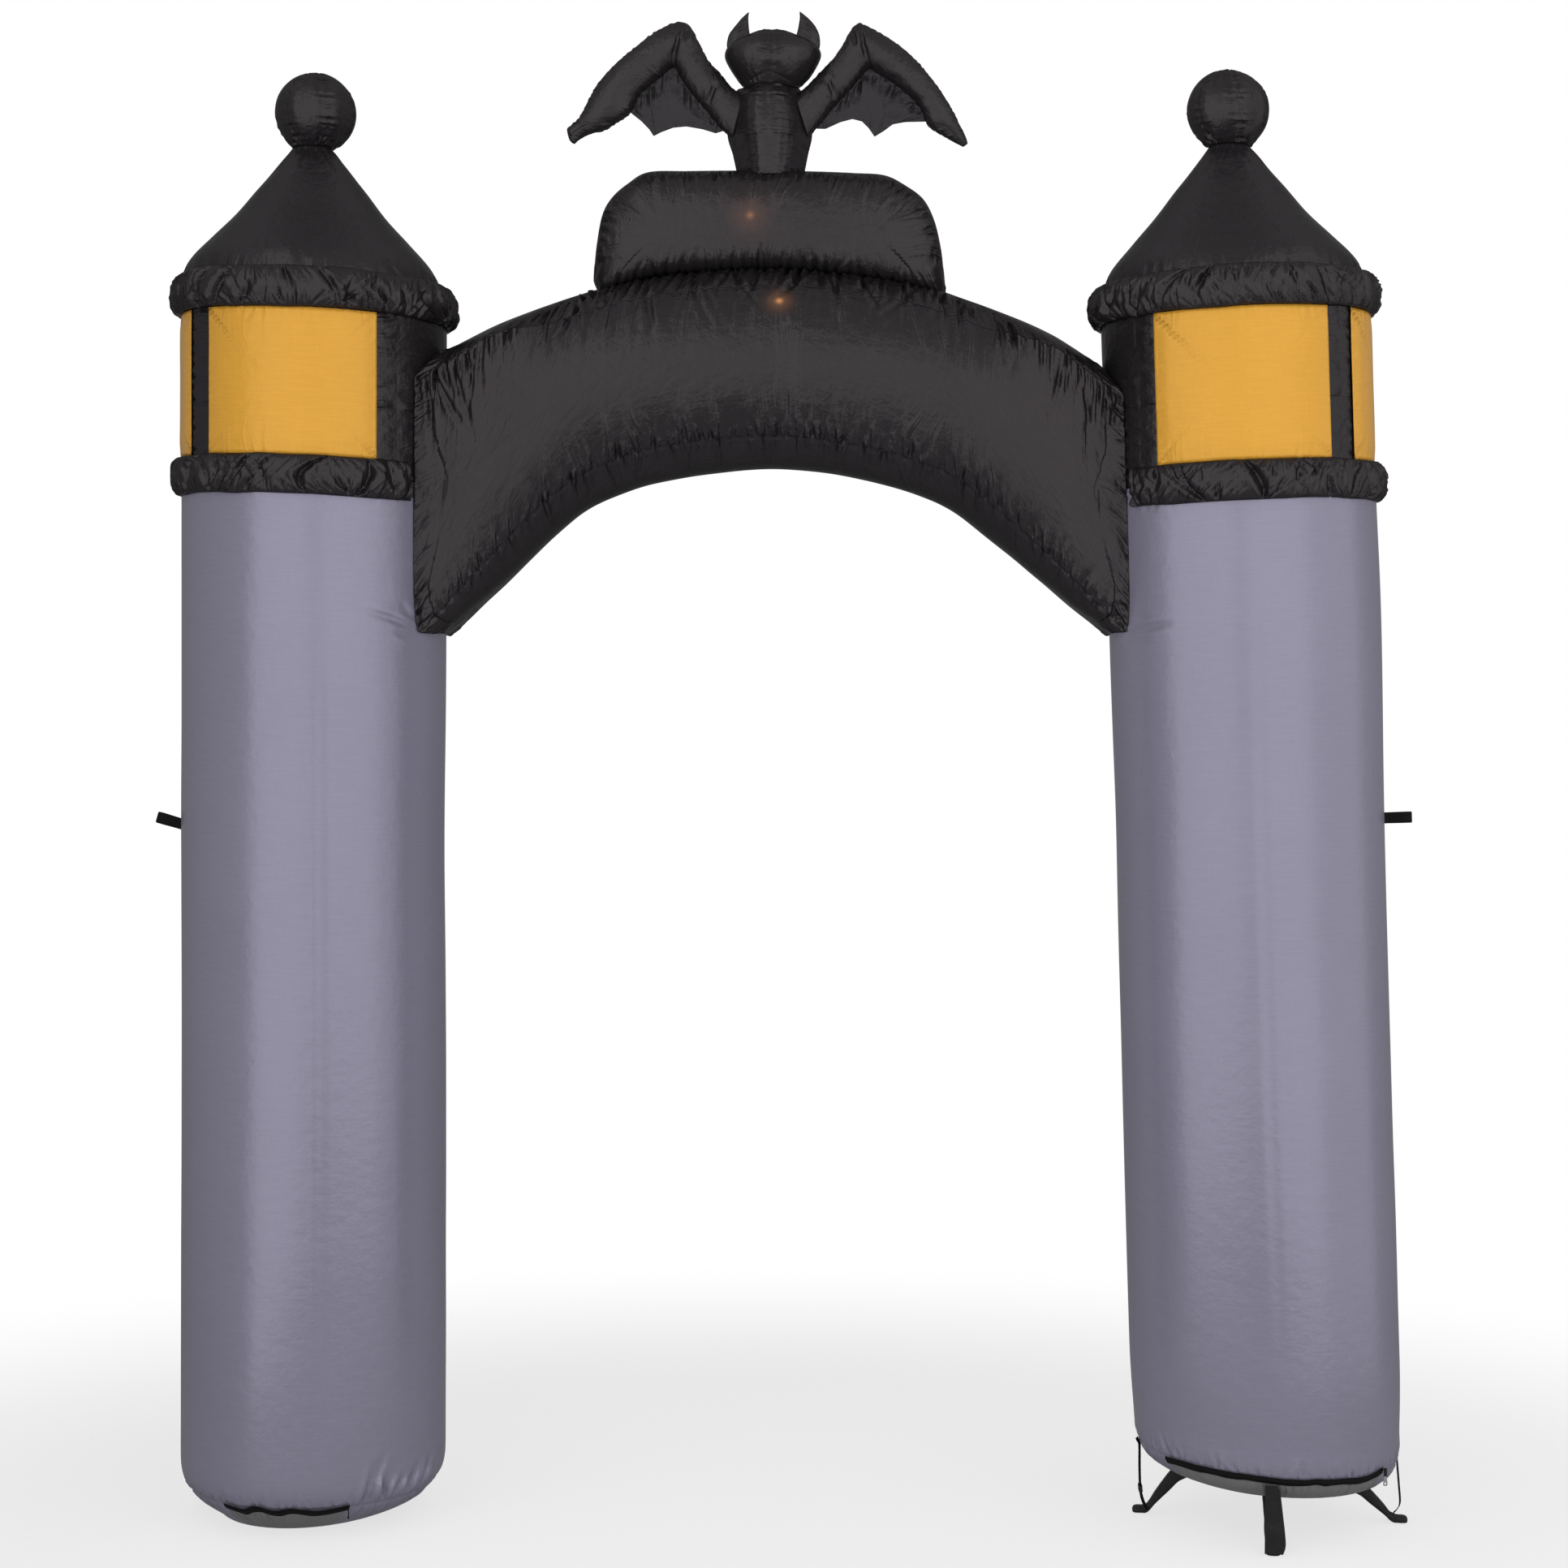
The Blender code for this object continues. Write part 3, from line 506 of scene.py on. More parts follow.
class Net:
    """The node tree of one material."""

    def __init__(self, name: str) -> None:
        """Start a material with its shader and output alone.

        Args:
            name: The material's name.
        """
        self.material = bpy.data.materials.new(name)
        self.material.use_nodes = True
        self.tree = self.material.node_tree
        self.shader = self.tree.nodes["Principled BSDF"]

    @classmethod
    def of(cls, tree: bpy.types.NodeTree) -> "Net":
        """Make a helper for nodes that aren't a material's, such as the room's light.

        Args:
            tree: The nodes' tree.

        Returns:
            The helper.
        """
        net = cls.__new__(cls)
        net.material, net.tree, net.shader = None, tree, None
        return net

    def node(self, kind: str, settings: dict[str, Any], inputs: dict[Any, Any], output: Any = 0) -> Wire:
        """Add one node.

        Args:
            kind: Type of the node.
            settings: Its settings, by name; "stops" holds a ramp's places and colours.
            inputs: Values or links of its sockets, by name or number.
            output: Name or number of the socket that is wanted.

        Returns:
            The wanted output.
        """
        made = self.tree.nodes.new(kind)
        for name, value in settings.items():
            if name == "stops":
                ramp = made.color_ramp
                while len(ramp.elements) < len(value):
                    ramp.elements.new(0.5)
                for element, (place, colour) in zip(ramp.elements, value):
                    element.position, element.color = place, (*colour, 1.0)
            else:
                setattr(made, name, value)
        for name, value in inputs.items():
            self.feed(made.inputs[name], value)
        return Wire(self, None if output is None else made.outputs[output])

    def feed(self, socket: Any, value: Any) -> None:
        """Link a wire to a socket, or set its value.

        Args:
            socket: The input socket.
            value: A Wire, a number or a tuple.
        """
        if isinstance(value, Wire):
            self.tree.links.new(value.socket, socket)
        elif socket.type == "RGBA" and len(value) == 3:
            socket.default_value = (*value, 1.0)
        else:
            socket.default_value = value

    def set(self, **values: Any) -> None:
        """Set the shader's sockets, written with _ for a space.

        Args:
            **values: A Wire, a number or a colour for each socket.
        """
        for name, value in values.items():
            self.feed(self.shader.inputs[name.replace("_", " ")], value)

    def attribute(self, name: str) -> Wire:
        """A mesh attribute as a vector."""
        return self.node("ShaderNodeAttribute", {"attribute_name": name}, {}, "Vector")

    def part(self, vector: Wire, axis: int) -> Wire:
        """One coordinate of a vector, counted from 0."""
        return self.node("ShaderNodeSeparateXYZ", {}, {0: vector}, axis)

    def joined(self, x: Any, y: Any, z: Any = 0.0) -> Wire:
        """A vector from its coordinates."""
        return self.node("ShaderNodeCombineXYZ", {}, {0: x, 1: y, 2: z})

    def noise(self, place: Wire, scale: float, detail: float = 2.0, roughness: float = 0.5) -> Wire:
        """Smooth variation from 0 to 1.

        Args:
            place: Where to read it.
            scale: Swells to the metre.
            detail: Finer layers.
            roughness: Weight of the finer layers.

        Returns:
            The variation.
        """
        inputs = {"Vector": place, "Scale": scale, "Detail": detail, "Roughness": roughness}
        return self.node("ShaderNodeTexNoise", {}, inputs, 0)

    def blend(self, share: Any, first: Any, second: Any) -> Wire:
        """Two colours mixed by a share.

        Args:
            share: 0 for the first, 1 for the second.
            first: Colour or wire.
            second: Colour or wire.

        Returns:
            The mixed colour.
        """
        made = self.tree.nodes.new("ShaderNodeMix")
        made.data_type = "RGBA"
        for socket, value in zip((made.inputs[0], made.inputs[6], made.inputs[7]), (share, first, second)):
            self.feed(socket, value)
        return Wire(self, made.outputs[2])

    def bump(self, height: Wire, distance: float, strength: float = 1.0, under: Optional[Wire] = None) -> Wire:
        """A normal that follows a height.

        Args:
            height: The height, in units of distance.
            distance: Metres for a height of 1.
            strength: Share of the effect.
            under: Normal that this one is laid on.

        Returns:
            The normal.
        """
        inputs: dict[str, Any] = {"Height": height, "Distance": distance, "Strength": strength}
        if under is not None:
            inputs["Normal"] = under
        return self.node("ShaderNodeBump", {}, inputs)


def scaled(colour: Sequence[float], share: float) -> tuple[float, ...]:
    """A colour made lighter or darker by a share."""
    return tuple(min(1.0, part * share) for part in colour)


@dataclass(frozen=True)
class Glow:
    """A small lamp inside the tube, seen dimly through the cloth."""

    centre: tuple[float, float, float]
    core: float = 0.006
    halo: float = 0.03
    strength: float = 0.2


@dataclass(frozen=True)
class Nylon:
    """Coated nylon cloth of a blown-up piece, with weft streaks and fine puckers at its seams."""

    name: str
    slot: str
    colour: tuple[float, float, float]
    tint: float = 0.35
    roughness: float = 0.27
    streak: float = 0.05
    crumple: float = 0.0006
    pucker: float = 0.0015
    specular: float = 0.5
    edge: float = 0.35
    sheen: float = 0.0
    lining: Optional[tuple[float, float, float]] = None
    glows: tuple[Glow, ...] = ()

    def make(self) -> bpy.types.Material:
        """Make the cloth, with its threads, its puckers and its glow.

        Returns:
            The material.
        """
        net = Net(self.name)
        lay, pucker = net.attribute("lay"), net.attribute("pucker")
        u, v = net.part(lay, 0), net.part(lay, 1)
        weft = net.noise(net.joined(u * 15.0, v * 300.0), 1.0, 3.0, 0.6)
        warp = net.noise(net.joined(u * 420.0, v * 18.0, 3.0), 1.0, 2.0, 0.5)
        broad = net.noise(net.joined(u, v, 7.0), 5.0, 3.0, 0.5)
        share = weft * 0.55 + warp * 0.2 + broad * 0.25
        low, high = (scaled(self.colour, 1.0 + sign * 3.0 * self.streak) for sign in (-1.0, 1.0))
        colour = net.blend(share, low, high)
        if self.lining:
            colour = net.blend(net.part(lay, 2), colour, self.lining)
        net.set(Base_Color=colour, Roughness=self.roughness + (broad - 0.5) * 0.1, Metallic=self.tint, IOR=1.5)
        net.set(Specular_IOR_Level=self.specular, Specular_Tint=(self.edge,) * 3, Sheen_Weight=self.sheen)
        run, away, strength = (net.part(pucker, axis) for axis in range(3))
        sway = net.noise(net.joined(run * 10.0, away * 5.0, 2.0), 1.0, 1.0)
        fanned = run + (sway - 0.5) * away * 1.8
        ripple = net.noise(net.joined(fanned * 66.0, away * 7.0), 1.0, 1.8, 0.55)
        offset = ripple - 0.5
        crease = 1.0 - (offset * offset * -34.0).exponential()
        grouped = net.noise(net.joined(run * 24.0, away * 4.0, 9.0), 1.0, 1.0).fitted(0.36, 0.62, 0.2, 1.0)
        near = (away * -21.0).exponential() * grouped * strength
        pulled = net.bump((ripple * 0.8 + crease * 0.35) * near, self.pucker * 4.0)
        creased = net.noise(net.joined(u, v, 1.0), 42.0, 4.5, 0.62)
        worn = net.bump(creased, self.crumple * 4.0, 1.0, pulled)
        thread = net.noise(net.joined(u, v * 1.6, 5.0), 620.0, 2.0, 0.6)
        net.set(Normal=net.bump(thread, 0.00004, 1.0, worn))
        if self.glows:
            self.light(net)
        return net.material

    def light(self, net: Net) -> None:
        """Let the small lamps show through the cloth.

        Args:
            net: The material's nodes.
        """
        place = net.node("ShaderNodeTexCoord", {}, {}, "Object")
        total: Any = None
        for glow in self.glows:
            away = net.node("ShaderNodeVectorMath", {"operation": "DISTANCE"}, {0: place, 1: glow.centre}, "Value")
            spot, halo = ((away * away * (-1.0 / size**2)).exponential() for size in (glow.core, glow.halo))
            mask = spot * glow.strength + halo * (glow.strength * 0.22)
            total = mask if total is None else total + mask
        net.set(Emission_Color=net.blend(total, (0.0, 0.0, 0.0), (1.0, 0.42, 0.16)))
        net.shader.inputs["Emission Strength"].default_value = 1.0


@dataclass(frozen=True)
class Webbing:
    """Woven tape, ribbed across its run; rides on the lay attribute."""

    name: str
    slot: str
    colour: tuple[float, float, float]
    rib: float = 1150.0
    depth: float = 0.00025
    roughness: float = 0.7

    def make(self) -> bpy.types.Material:
        """Make the tape, with its ribs and its fuzz.

        Returns:
            The material.
        """
        net = Net(self.name)
        lay = net.attribute("lay")
        u, v = net.part(lay, 0), net.part(lay, 1)
        across = (u * self.rib).sine()
        along = (v * (self.rib * 1.6)).sine()
        weave = across * along * 0.5 + 0.5
        fuzz = net.noise(net.joined(u, v), 900.0, 2.0)
        net.set(Base_Color=net.blend(weave * 0.6 + fuzz * 0.4, scaled(self.colour, 0.7), scaled(self.colour, 1.45)))
        net.set(Roughness=self.roughness + (fuzz - 0.5) * 0.2, Specular_IOR_Level=0.15)
        net.set(Normal=net.bump(weave * 0.7 + fuzz * 0.3, self.depth))
        return net.material


@dataclass(frozen=True)
class Moulded:
    """Moulded plastic with a fine grain and patches of paler dust."""

    name: str
    slot: str
    colour: tuple[float, float, float]
    grain: float = 420.0
    depth: float = 0.0004
    roughness: float = 0.42

    def make(self) -> bpy.types.Material:
        """Make the plastic, with its grain and its dust.

        Returns:
            The material.
        """
        net = Net(self.name)
        place = net.node("ShaderNodeTexCoord", {}, {}, "Object")
        grain = net.noise(place, self.grain, 3.0, 0.6)
        dust = net.noise(place, 24.0, 4.0, 0.6).fitted(0.45, 0.75)
        colour = net.blend(grain, scaled(self.colour, 0.75), scaled(self.colour, 1.35))
        net.set(Base_Color=net.blend(dust * 0.22, colour, (0.06, 0.058, 0.056)), Specular_IOR_Level=0.35)
        net.set(Roughness=self.roughness + (grain - 0.5) * 0.25 + dust * 0.15)
        net.set(Normal=net.bump(grain, self.depth))
        return net.material


@dataclass(frozen=True)
class Steel:
    """Plated zip steel with fine rubbing."""

    name: str = "plated_steel"
    slot: str = "zip_steel"
    colour: tuple[float, float, float] = (0.52, 0.52, 0.53)

    def make(self) -> bpy.types.Material:
        """Make the steel, rubbed along its length.

        Returns:
            The material.
        """
        net = Net(self.name)
        place = net.node("ShaderNodeTexCoord", {}, {}, "Object")
        rub = net.noise(net.node("ShaderNodeMapping", {}, {0: place, 3: (1.0, 1.0, 0.08)}), 2600.0, 2.0)
        worn = net.noise(place, 300.0, 3.0)
        net.set(Base_Color=net.blend(worn, scaled(self.colour, 0.75), scaled(self.colour, 1.25)))
        net.set(Metallic=1.0, Roughness=0.24 + rub * 0.22)
        net.set(Normal=net.bump(rub, 0.00005))
        return net.material


@dataclass(frozen=True)
class Studio:
    """Floor finish and the light of the room."""

    floor: float = 0.86
    cover: float = 0.3
    room: float = 0.29
    above: float = 0.5
    below: float = 0.2

    def floor_material(self) -> bpy.types.Material:
        """Make the pale floor, which fades into the white of the room.

        Returns:
            The material.
        """
        net = Net("pale_floor")
        place = net.node("ShaderNodeTexCoord", {}, {}, "Object")
        grain = net.noise(place, 40.0, 3.0)
        net.set(Base_Color=net.blend(grain, (self.floor,) * 3, (self.floor + 0.02,) * 3), Roughness=0.9)
        x, y = net.part(place, 0) * 0.78, net.part(place, 1)
        away = (x * x + y * y) ** 0.5
        net.set(Alpha=away.fitted(0.95, 2.3, self.cover, 0.0))
        net.set(Specular_IOR_Level=0.1)
        return net.material

    def world(self) -> None:
        """White to the camera, and dimmer as a light."""
        world = bpy.data.worlds.new("studio")
        bpy.context.scene.world = world
        world.use_nodes = True
        world.node_tree.nodes.clear()
        net = Net.of(world.node_tree)
        way = net.node("ShaderNodeTexCoord", {}, {}, "Generated")
        x, y, z = (net.part(way, axis) for axis in range(3))
        left, right = x * 3.6 + 1.8, x * 3.6 - 1.6
        parted = (left * left * -1.0).exponential() + (right * right * -1.0).exponential()
        high = z.fitted(0.45, 0.8, 0.0, self.above - self.room) * z.fitted(0.84, 0.98, 1.0, 0.05) * parted
        light = high + z.fitted(-0.5, 0.1, self.below, self.room) * y.fitted(0.35, 0.95, 1.1, 0.8)
        lamp = net.node("ShaderNodeBackground", {}, {"Color": (1.0, 1.0, 1.0), "Strength": light})
        seen = net.node("ShaderNodeBackground", {}, {"Color": (1.0, 1.0, 1.0), "Strength": 1.0})
        camera = net.node("ShaderNodeLightPath", {}, {}, "Is Camera Ray")
        mixed = net.node("ShaderNodeMixShader", {}, {0: camera, 1: lamp, 2: seen})
        net.node("ShaderNodeOutputWorld", {}, {0: mixed}, None)


GLOWS = (Glow((-0.043, -0.087, 2.348)), Glow((0.011, -0.128, 2.1886), 0.0055, 0.02, 0.5))

GREY = Nylon(
    "grey_cloth", "grey_nylon", (0.312, 0.298, 0.394), crumple=0.0002, sheen=0.06, lining=(0.262, 0.256, 0.264)
)
BLACK_TONE = (0.048, 0.043, 0.0465)
GLOSS: dict[str, float] = {"tint": 0.65, "roughness": 0.245, "streak": 0.07, "crumple": 0.0008}
BLACK = Nylon("black_cloth", "black_nylon", BLACK_TONE, pucker=0.0022, **GLOSS)
LIT_BLACK = Nylon("black_cloth_lamps", "black_nylon", BLACK_TONE, pucker=0.0042, glows=GLOWS, **GLOSS)
AMBER = Nylon("amber_cloth", "amber_nylon", (0.84, 0.42, 0.05), tint=0.1, specular=0.8, crumple=0.0004)
THIN_BLACK = Nylon(
    "thin_black_cloth", "membrane_nylon", (0.041, 0.038, 0.041), tint=0.45, roughness=0.32, crumple=0.001
)
STRAP = Webbing("black_strap", "black_webbing", (0.006, 0.006, 0.006))
TAPE = Webbing("black_zip_tape", "zip_tape", (0.0045, 0.0043, 0.005), 2400.0, 0.0001, 0.7)
PLASTIC = Moulded("black_plastic", "black_plastic", (0.01, 0.01, 0.011))
STIPPLED = Moulded("stippled_plastic", "black_plastic", (0.014, 0.014, 0.0145), 260.0, 0.0015, 0.5)
STEEL = Steel()
CORD = Webbing("black_cord", "pull_cord", (0.01, 0.01, 0.01), 3000.0, 0.0002, 0.8)

_made: dict[str, bpy.types.Material] = {}


def dress(piece: bpy.types.Object, finish: Any, *nodes: str, fill: Optional[float] = None) -> bpy.types.Object:
    """Give a piece its finish, hang it on the root body, and hide the CAD nodes that it replaces.

    Args:
        piece: The new piece.
        finish: Its finish.
        *nodes: CAD nodes that it replaces.
        fill: Not used.

    Returns:
        The piece.
    """
    if finish.name not in _made:
        _made[finish.name] = finish.make()
    piece.data.materials.clear()
    piece.data.materials.append(_made[finish.name])
    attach(piece, "root")
    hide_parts(*nodes)
    return piece


def filled(cloth: Cloth, node: str, finish: Nylon = BLACK, ends: Ends = Ends.CAPPED) -> bpy.types.Object:
    """A blown-up piece that stands for the CAD node of its own name."""
    return dress(cloth.build(node, ends), finish, node, fill=1.0)


# --------------------------------------------------------------------------- sizes

COLUMN_RADIUS = 0.24
TURRET_RADIUS = 0.2395
SEWN_GAP = 0.0005
ROLL_INNER = COLUMN_RADIUS + SEWN_GAP
ROLL_SWELL = 0.018
ROLL_HALF_HEIGHT = 0.034
LOWER_ROLL_OPENING = 33.5
PANEL_ARC = 77.0
PANEL_PITCH = 92.0
FINIAL_RADIUS = 0.0735
FINIAL_NECK = 0.036
ARCH_CLEARANCE = 0.0008
FOLD_RADIUS = 0.25


def spaced(*spans: tuple[float, float, float]) -> Array:
    """Places along a line, each span with its own spacing.

    Args:
        *spans: Start, stop and step of each span, one after the other.

    Returns:
        The rising places, with both outer ends.
    """
    parts = [np.linspace(a, b, max(2, round((b - a) / step) + 1))[:-1] for a, b, step in spans]
    return np.concatenate([*parts, [spans[-1][1]]])


def smooth_profile(rows: Sequence[Sequence[float]], wanted: Array) -> Array:
    """The second column of a table at places in its first, without corners.

    Args:
        rows: Table with its first column rising.
        wanted: Places in the first column.

    Returns:
        The values there.
    """
    track = Track(rows)
    line = track.at(np.linspace(0.0, track.last, 40 * len(rows)))
    return np.interp(wanted, line[:, 0], line[:, 1])


@dataclass(frozen=True)
class Tower:
    """One side of the arch: everything round one leaning axis."""

    side: Side
    axis: float
    lean: float
    bottom: float
    bottom_slope: float
    level_slope: float
    joint: float
    eaves: float
    roll: float
    inward: float
    turn: float
    zip_arc: tuple[float, float]
    zip_height: float
    foot: tuple[tuple[float, float], ...]
    zip_wave: tuple[tuple[float, float], ...]
    drag: float = 0.0
    tip: float = 0.0

    def zip_line(self, degrees: Array) -> Array:
        """Follow the middle of the zip round the foot.

        Args:
            degrees: Angles from the rear.

        Returns:
            Heights over the column's bottom.
        """
        turns, waves = np.array(self.zip_wave).T
        fine = np.linspace(turns[0], turns[-1], 200)
        wave = np.convolve(np.pad(np.interp(fine, turns, waves), 8, "edge"), np.ones(17) / 17.0, "valid")
        return self.zip_height + np.interp(degrees, fine, wave)

    def axis_x(self, height: Array) -> Array:
        """Where the axis is at a height; the foot of a standing bag is dragged a little."""
        low = np.exp(-np.maximum(np.asarray(height) - self.bottom, 0.0) / 0.014)
        return self.axis + self.lean * np.asarray(height) + self.drag * low

    def slope(self, height: Array) -> Array:
        """Slope of the level, easing from the bottom's to that of the joint and above.

        Args:
            height: Heights at the axis.

        Returns:
            Rise along X, a height each.
        """
        start = self.bottom + 0.1
        share = ease((np.asarray(height) - start) / (self.joint - 0.1 - start))
        return self.bottom_slope + (self.level_slope - self.bottom_slope) * share

    def place(self, degrees: Array, radius: Array, height: Array, slope: Array) -> Array:
        """Points round the axis.

        Args:
            degrees: Angles from the rear, counted toward +X.
            radius: Distances from the axis.
            height: Heights of the level at the axis.
            slope: Slopes of the level along X.

        Returns:
            Points with their coordinates in the last dimension.
        """
        angle = np.radians(np.asarray(degrees) - 90.0)
        z = height + slope * radius * np.cos(angle)
        x = self.axis_x(z) + radius * np.cos(angle)
        y = radius * np.sin(angle) + 0.0 * z
        return np.stack(np.broadcast_arrays(x, y, z), axis=-1)


LEFT = Tower(
    side=Side.LEFT,
    axis=-0.85,
    lean=0.0012,
    bottom=0.0,
    bottom_slope=0.0,
    level_slope=-0.037,
    joint=1.877,
    eaves=2.201,
    roll=2.205,
    inward=0.0,
    turn=0.0,
    zip_arc=(-31.0, 28.0),
    zip_height=0.056,
    foot=(
        (0.0, 0.137), (0.004, 0.148), (0.0095, 0.159), (0.02, 0.179), (0.03, 0.196), (0.04, 0.2095), (0.054, 0.2225),
        (0.071, 0.233), (0.09, 0.2385), (0.12, 0.24), (0.2, 0.24)
    ),
    zip_wave=(
        (-34.0, 0.002), (-30.5, -0.0005), (-21.5, -0.0095), (-14.1, 0.0035), (-5.3, -0.006), (3.1, 0.0015),
        (13.0, -0.0065), (28.8, 0.0015)
    ),
    drag=-0.026,
    tip=-0.0065,
)  # fmt: skip
RIGHT = Tower(
    side=Side.RIGHT,
    axis=0.888,
    lean=-0.0283,
    bottom=0.085,
    bottom_slope=-0.059,
    level_slope=0.035,
    joint=1.861,
    eaves=2.189,
    roll=2.195,
    inward=180.0,
    turn=-3.0,
    zip_arc=(-55.0, 52.0),
    zip_height=0.05,
    foot=(
        (0.0, 0.147), (0.005, 0.171), (0.015, 0.199), (0.03, 0.219), (0.045, 0.229), (0.06, 0.2328), (0.08, 0.235),
        (0.11, 0.2363), (0.15, 0.2382), (0.2, 0.2397), (0.25, 0.24)
    ),
    zip_wave=(
        (-55.0, -0.002), (-42.0, 0.0005), (-28.0, -0.0012), (-12.0, 0.0012), (4.0, -0.002), (20.0, 0.001),
        (34.0, -0.0012), (45.0, 0.0), (52.0, 0.012)
    ),
)  # fmt: skip


# --------------------------------------------------------------------------- columns and turrets


@dataclass
class Column:
    """Filled tube of a side, with its drawn-in bottom."""

    tower: Tower
    folds: tuple[Fold, ...]
    gathered: tuple[tuple[float, float], ...]
    hung: tuple[tuple[float, float], ...]
    slant: float
    seed: int
    swells: tuple[tuple[float, float, float, float], ...]
    seen: float = 78.0
    fine_turn: float = 1.1
    coarse_turn: float = 3.4
    coarse_rise: float = 0.0185
    # radius as a share of the foot's, and height, of the closed underside
    under: tuple[tuple[float, float], ...] = ((0.12, 0.004), (0.3, 0.004), (0.5, 0.0035), (0.7, 0.0025), (0.9, 0.001))

    def levels(self) -> Array:
        """Set the rows, closer together at the foot, at the folds and under the roll.

        Returns:
            Heights over the bottom.
        """
        top = self.tower.joint - self.tower.bottom
        folded = min(1.68, top - 0.12)
        foot = spaced((0.0, 0.1, 0.0027), (0.1, 0.16, 0.006))
        upper = spaced(
            (0.16, 1.47, self.coarse_rise), (1.47, folded, 0.0042),
            (folded, top - 0.11, self.coarse_rise), (top - 0.11, top, 0.0055),
        )
        return np.concatenate([foot, upper[1:]])

    def build(self) -> bpy.types.Object:
        """Build the column, with its foot gathers and its faint folds.

        Returns:
            The column.
        """
        tower, seen, coarse = self.tower, self.seen, self.coarse_turn
        degrees = spaced((-180.0, -seen, coarse), (-seen, seen, self.fine_turn), (seen, 180.0, coarse))[:-1]
        rise = self.levels()
        under = np.array(self.under)
        radius = np.minimum(smooth_profile(tower.foot, rise), COLUMN_RADIUS)
        radius = np.concatenate([under[:, 0] * tower.foot[0][1], radius])[:, None]
        height = tower.bottom + np.concatenate([under[:, 1], rise])[:, None]
        slope = np.where(height - tower.bottom < 0.12, tower.bottom_slope, tower.slope(height))
        points = tower.place(degrees[None, :], radius, height, slope)
        u = np.broadcast_to(np.radians(degrees) * COLUMN_RADIUS, points.shape[:2])
        v = np.broadcast_to(height - tower.bottom, points.shape[:2])
        cloth = Cloth(points, np.stack([u, v + tower.bottom], axis=-1))
        first, last = (math.radians(edge) * COLUMN_RADIUS for edge in tower.zip_arc)
        below = ease((tower.zip_line(degrees)[None, :] - v) / 0.004)
        cloth.tone = below * ease((u - first) / 0.01) * ease((last - u) / 0.01)
        upward = np.abs(v - tower.zip_height)
        cloth.gather(u, upward, 0.8 * ease((0.05 - upward) / 0.03))
        cloth.press(self.relief(u, v) * np.broadcast_to(ease((radius - 0.09) / 0.02), u.shape) * self.kept(v))
        return filled(cloth, "column_" + tower.side.value, GREY)

    def kept(self, v: Array) -> Array:
        """Share of the relief, none at the very bottom that stands on the floor."""
        return 0.15 + 0.85 * ease(v / 0.012)

    def relief(self, u: Array, v: Array) -> Array:
        """Folds and gathers over the column.

        Args:
            u: Metres round it from the rear.
            v: Metres up from its bottom.

        Returns:
            Metres outward.
        """
        tower, around = self.tower, 2.0 * math.pi * COLUMN_RADIUS
        top = tower.joint - tower.bottom
        total = Drift(self.seed, (0.26, 0.42), around).at(u, v) * 0.0012
        total += Drift(self.seed + 1, (0.11, 0.16), around).at(u, v) * 0.0004
        strong, hung = (
            tuple((math.radians(a) * COLUMN_RADIUS, math.radians(b) * COLUMN_RADIUS) for a, b in spans)
            for spans in (self.gathered, self.hung)
        )
        total += Seam(width=0.0035, depth=0.002).relief(v - tower.zip_height)
        upward = v - tower.zip_height - 0.004
        reach, depths = ((0.055, 0.11), (0.006, 0.012)) if tower is LEFT else ((0.025, 0.06), (0.0022, 0.0048))
        foot = Pleats(
            self.seed + 2, pitch=0.0165, width=(0.005, 0.008), reach=reach, depth=depths, lean=0.22, spans=strong,
            slant=self.slant
        )
        total += foot.relief(u, upward, around)
        above = Pleats(
            self.seed + 3, pitch=0.012, width=(0.003, 0.005), reach=(0.012, 0.04), depth=(0.0008, 0.0034), lean=0.3
        )
        total += above.relief(u, upward, around, True)
        below = Pleats(
            self.seed + 4, pitch=0.009, width=(0.0026, 0.0042), reach=(0.016, 0.05), depth=(0.0008, 0.0026), lean=0.12
        )
        total += below.relief(u, tower.zip_height - 0.004 - v, around, True) * ease(v / 0.02)
        rolled = Pleats(
            self.seed + 5, pitch=0.014, width=(0.0039, 0.006), reach=(0.02, 0.06), depth=(0.0002, 0.0014), lean=0.4
        )
        total += rolled.relief(u, top - v, around, True)
        pulled = Pleats(
            self.seed + 6, pitch=0.012, width=(0.0036, 0.006), reach=(0.035, 0.075), depth=(0.0016, 0.0046), lean=0.2,
            spans=hung, slant=-0.9
        )
        total += pulled.relief(u, top - v, around)
        for fold in self.folds:
            total += fold.relief(u, v)
        for middle, height, reach, amount in self.swells:
            facing = np.maximum(np.cos(u / COLUMN_RADIUS - math.radians(middle)), 0.0) ** 2
            total += amount * facing * np.exp(-(((v - height) / reach) ** 2))
        return total


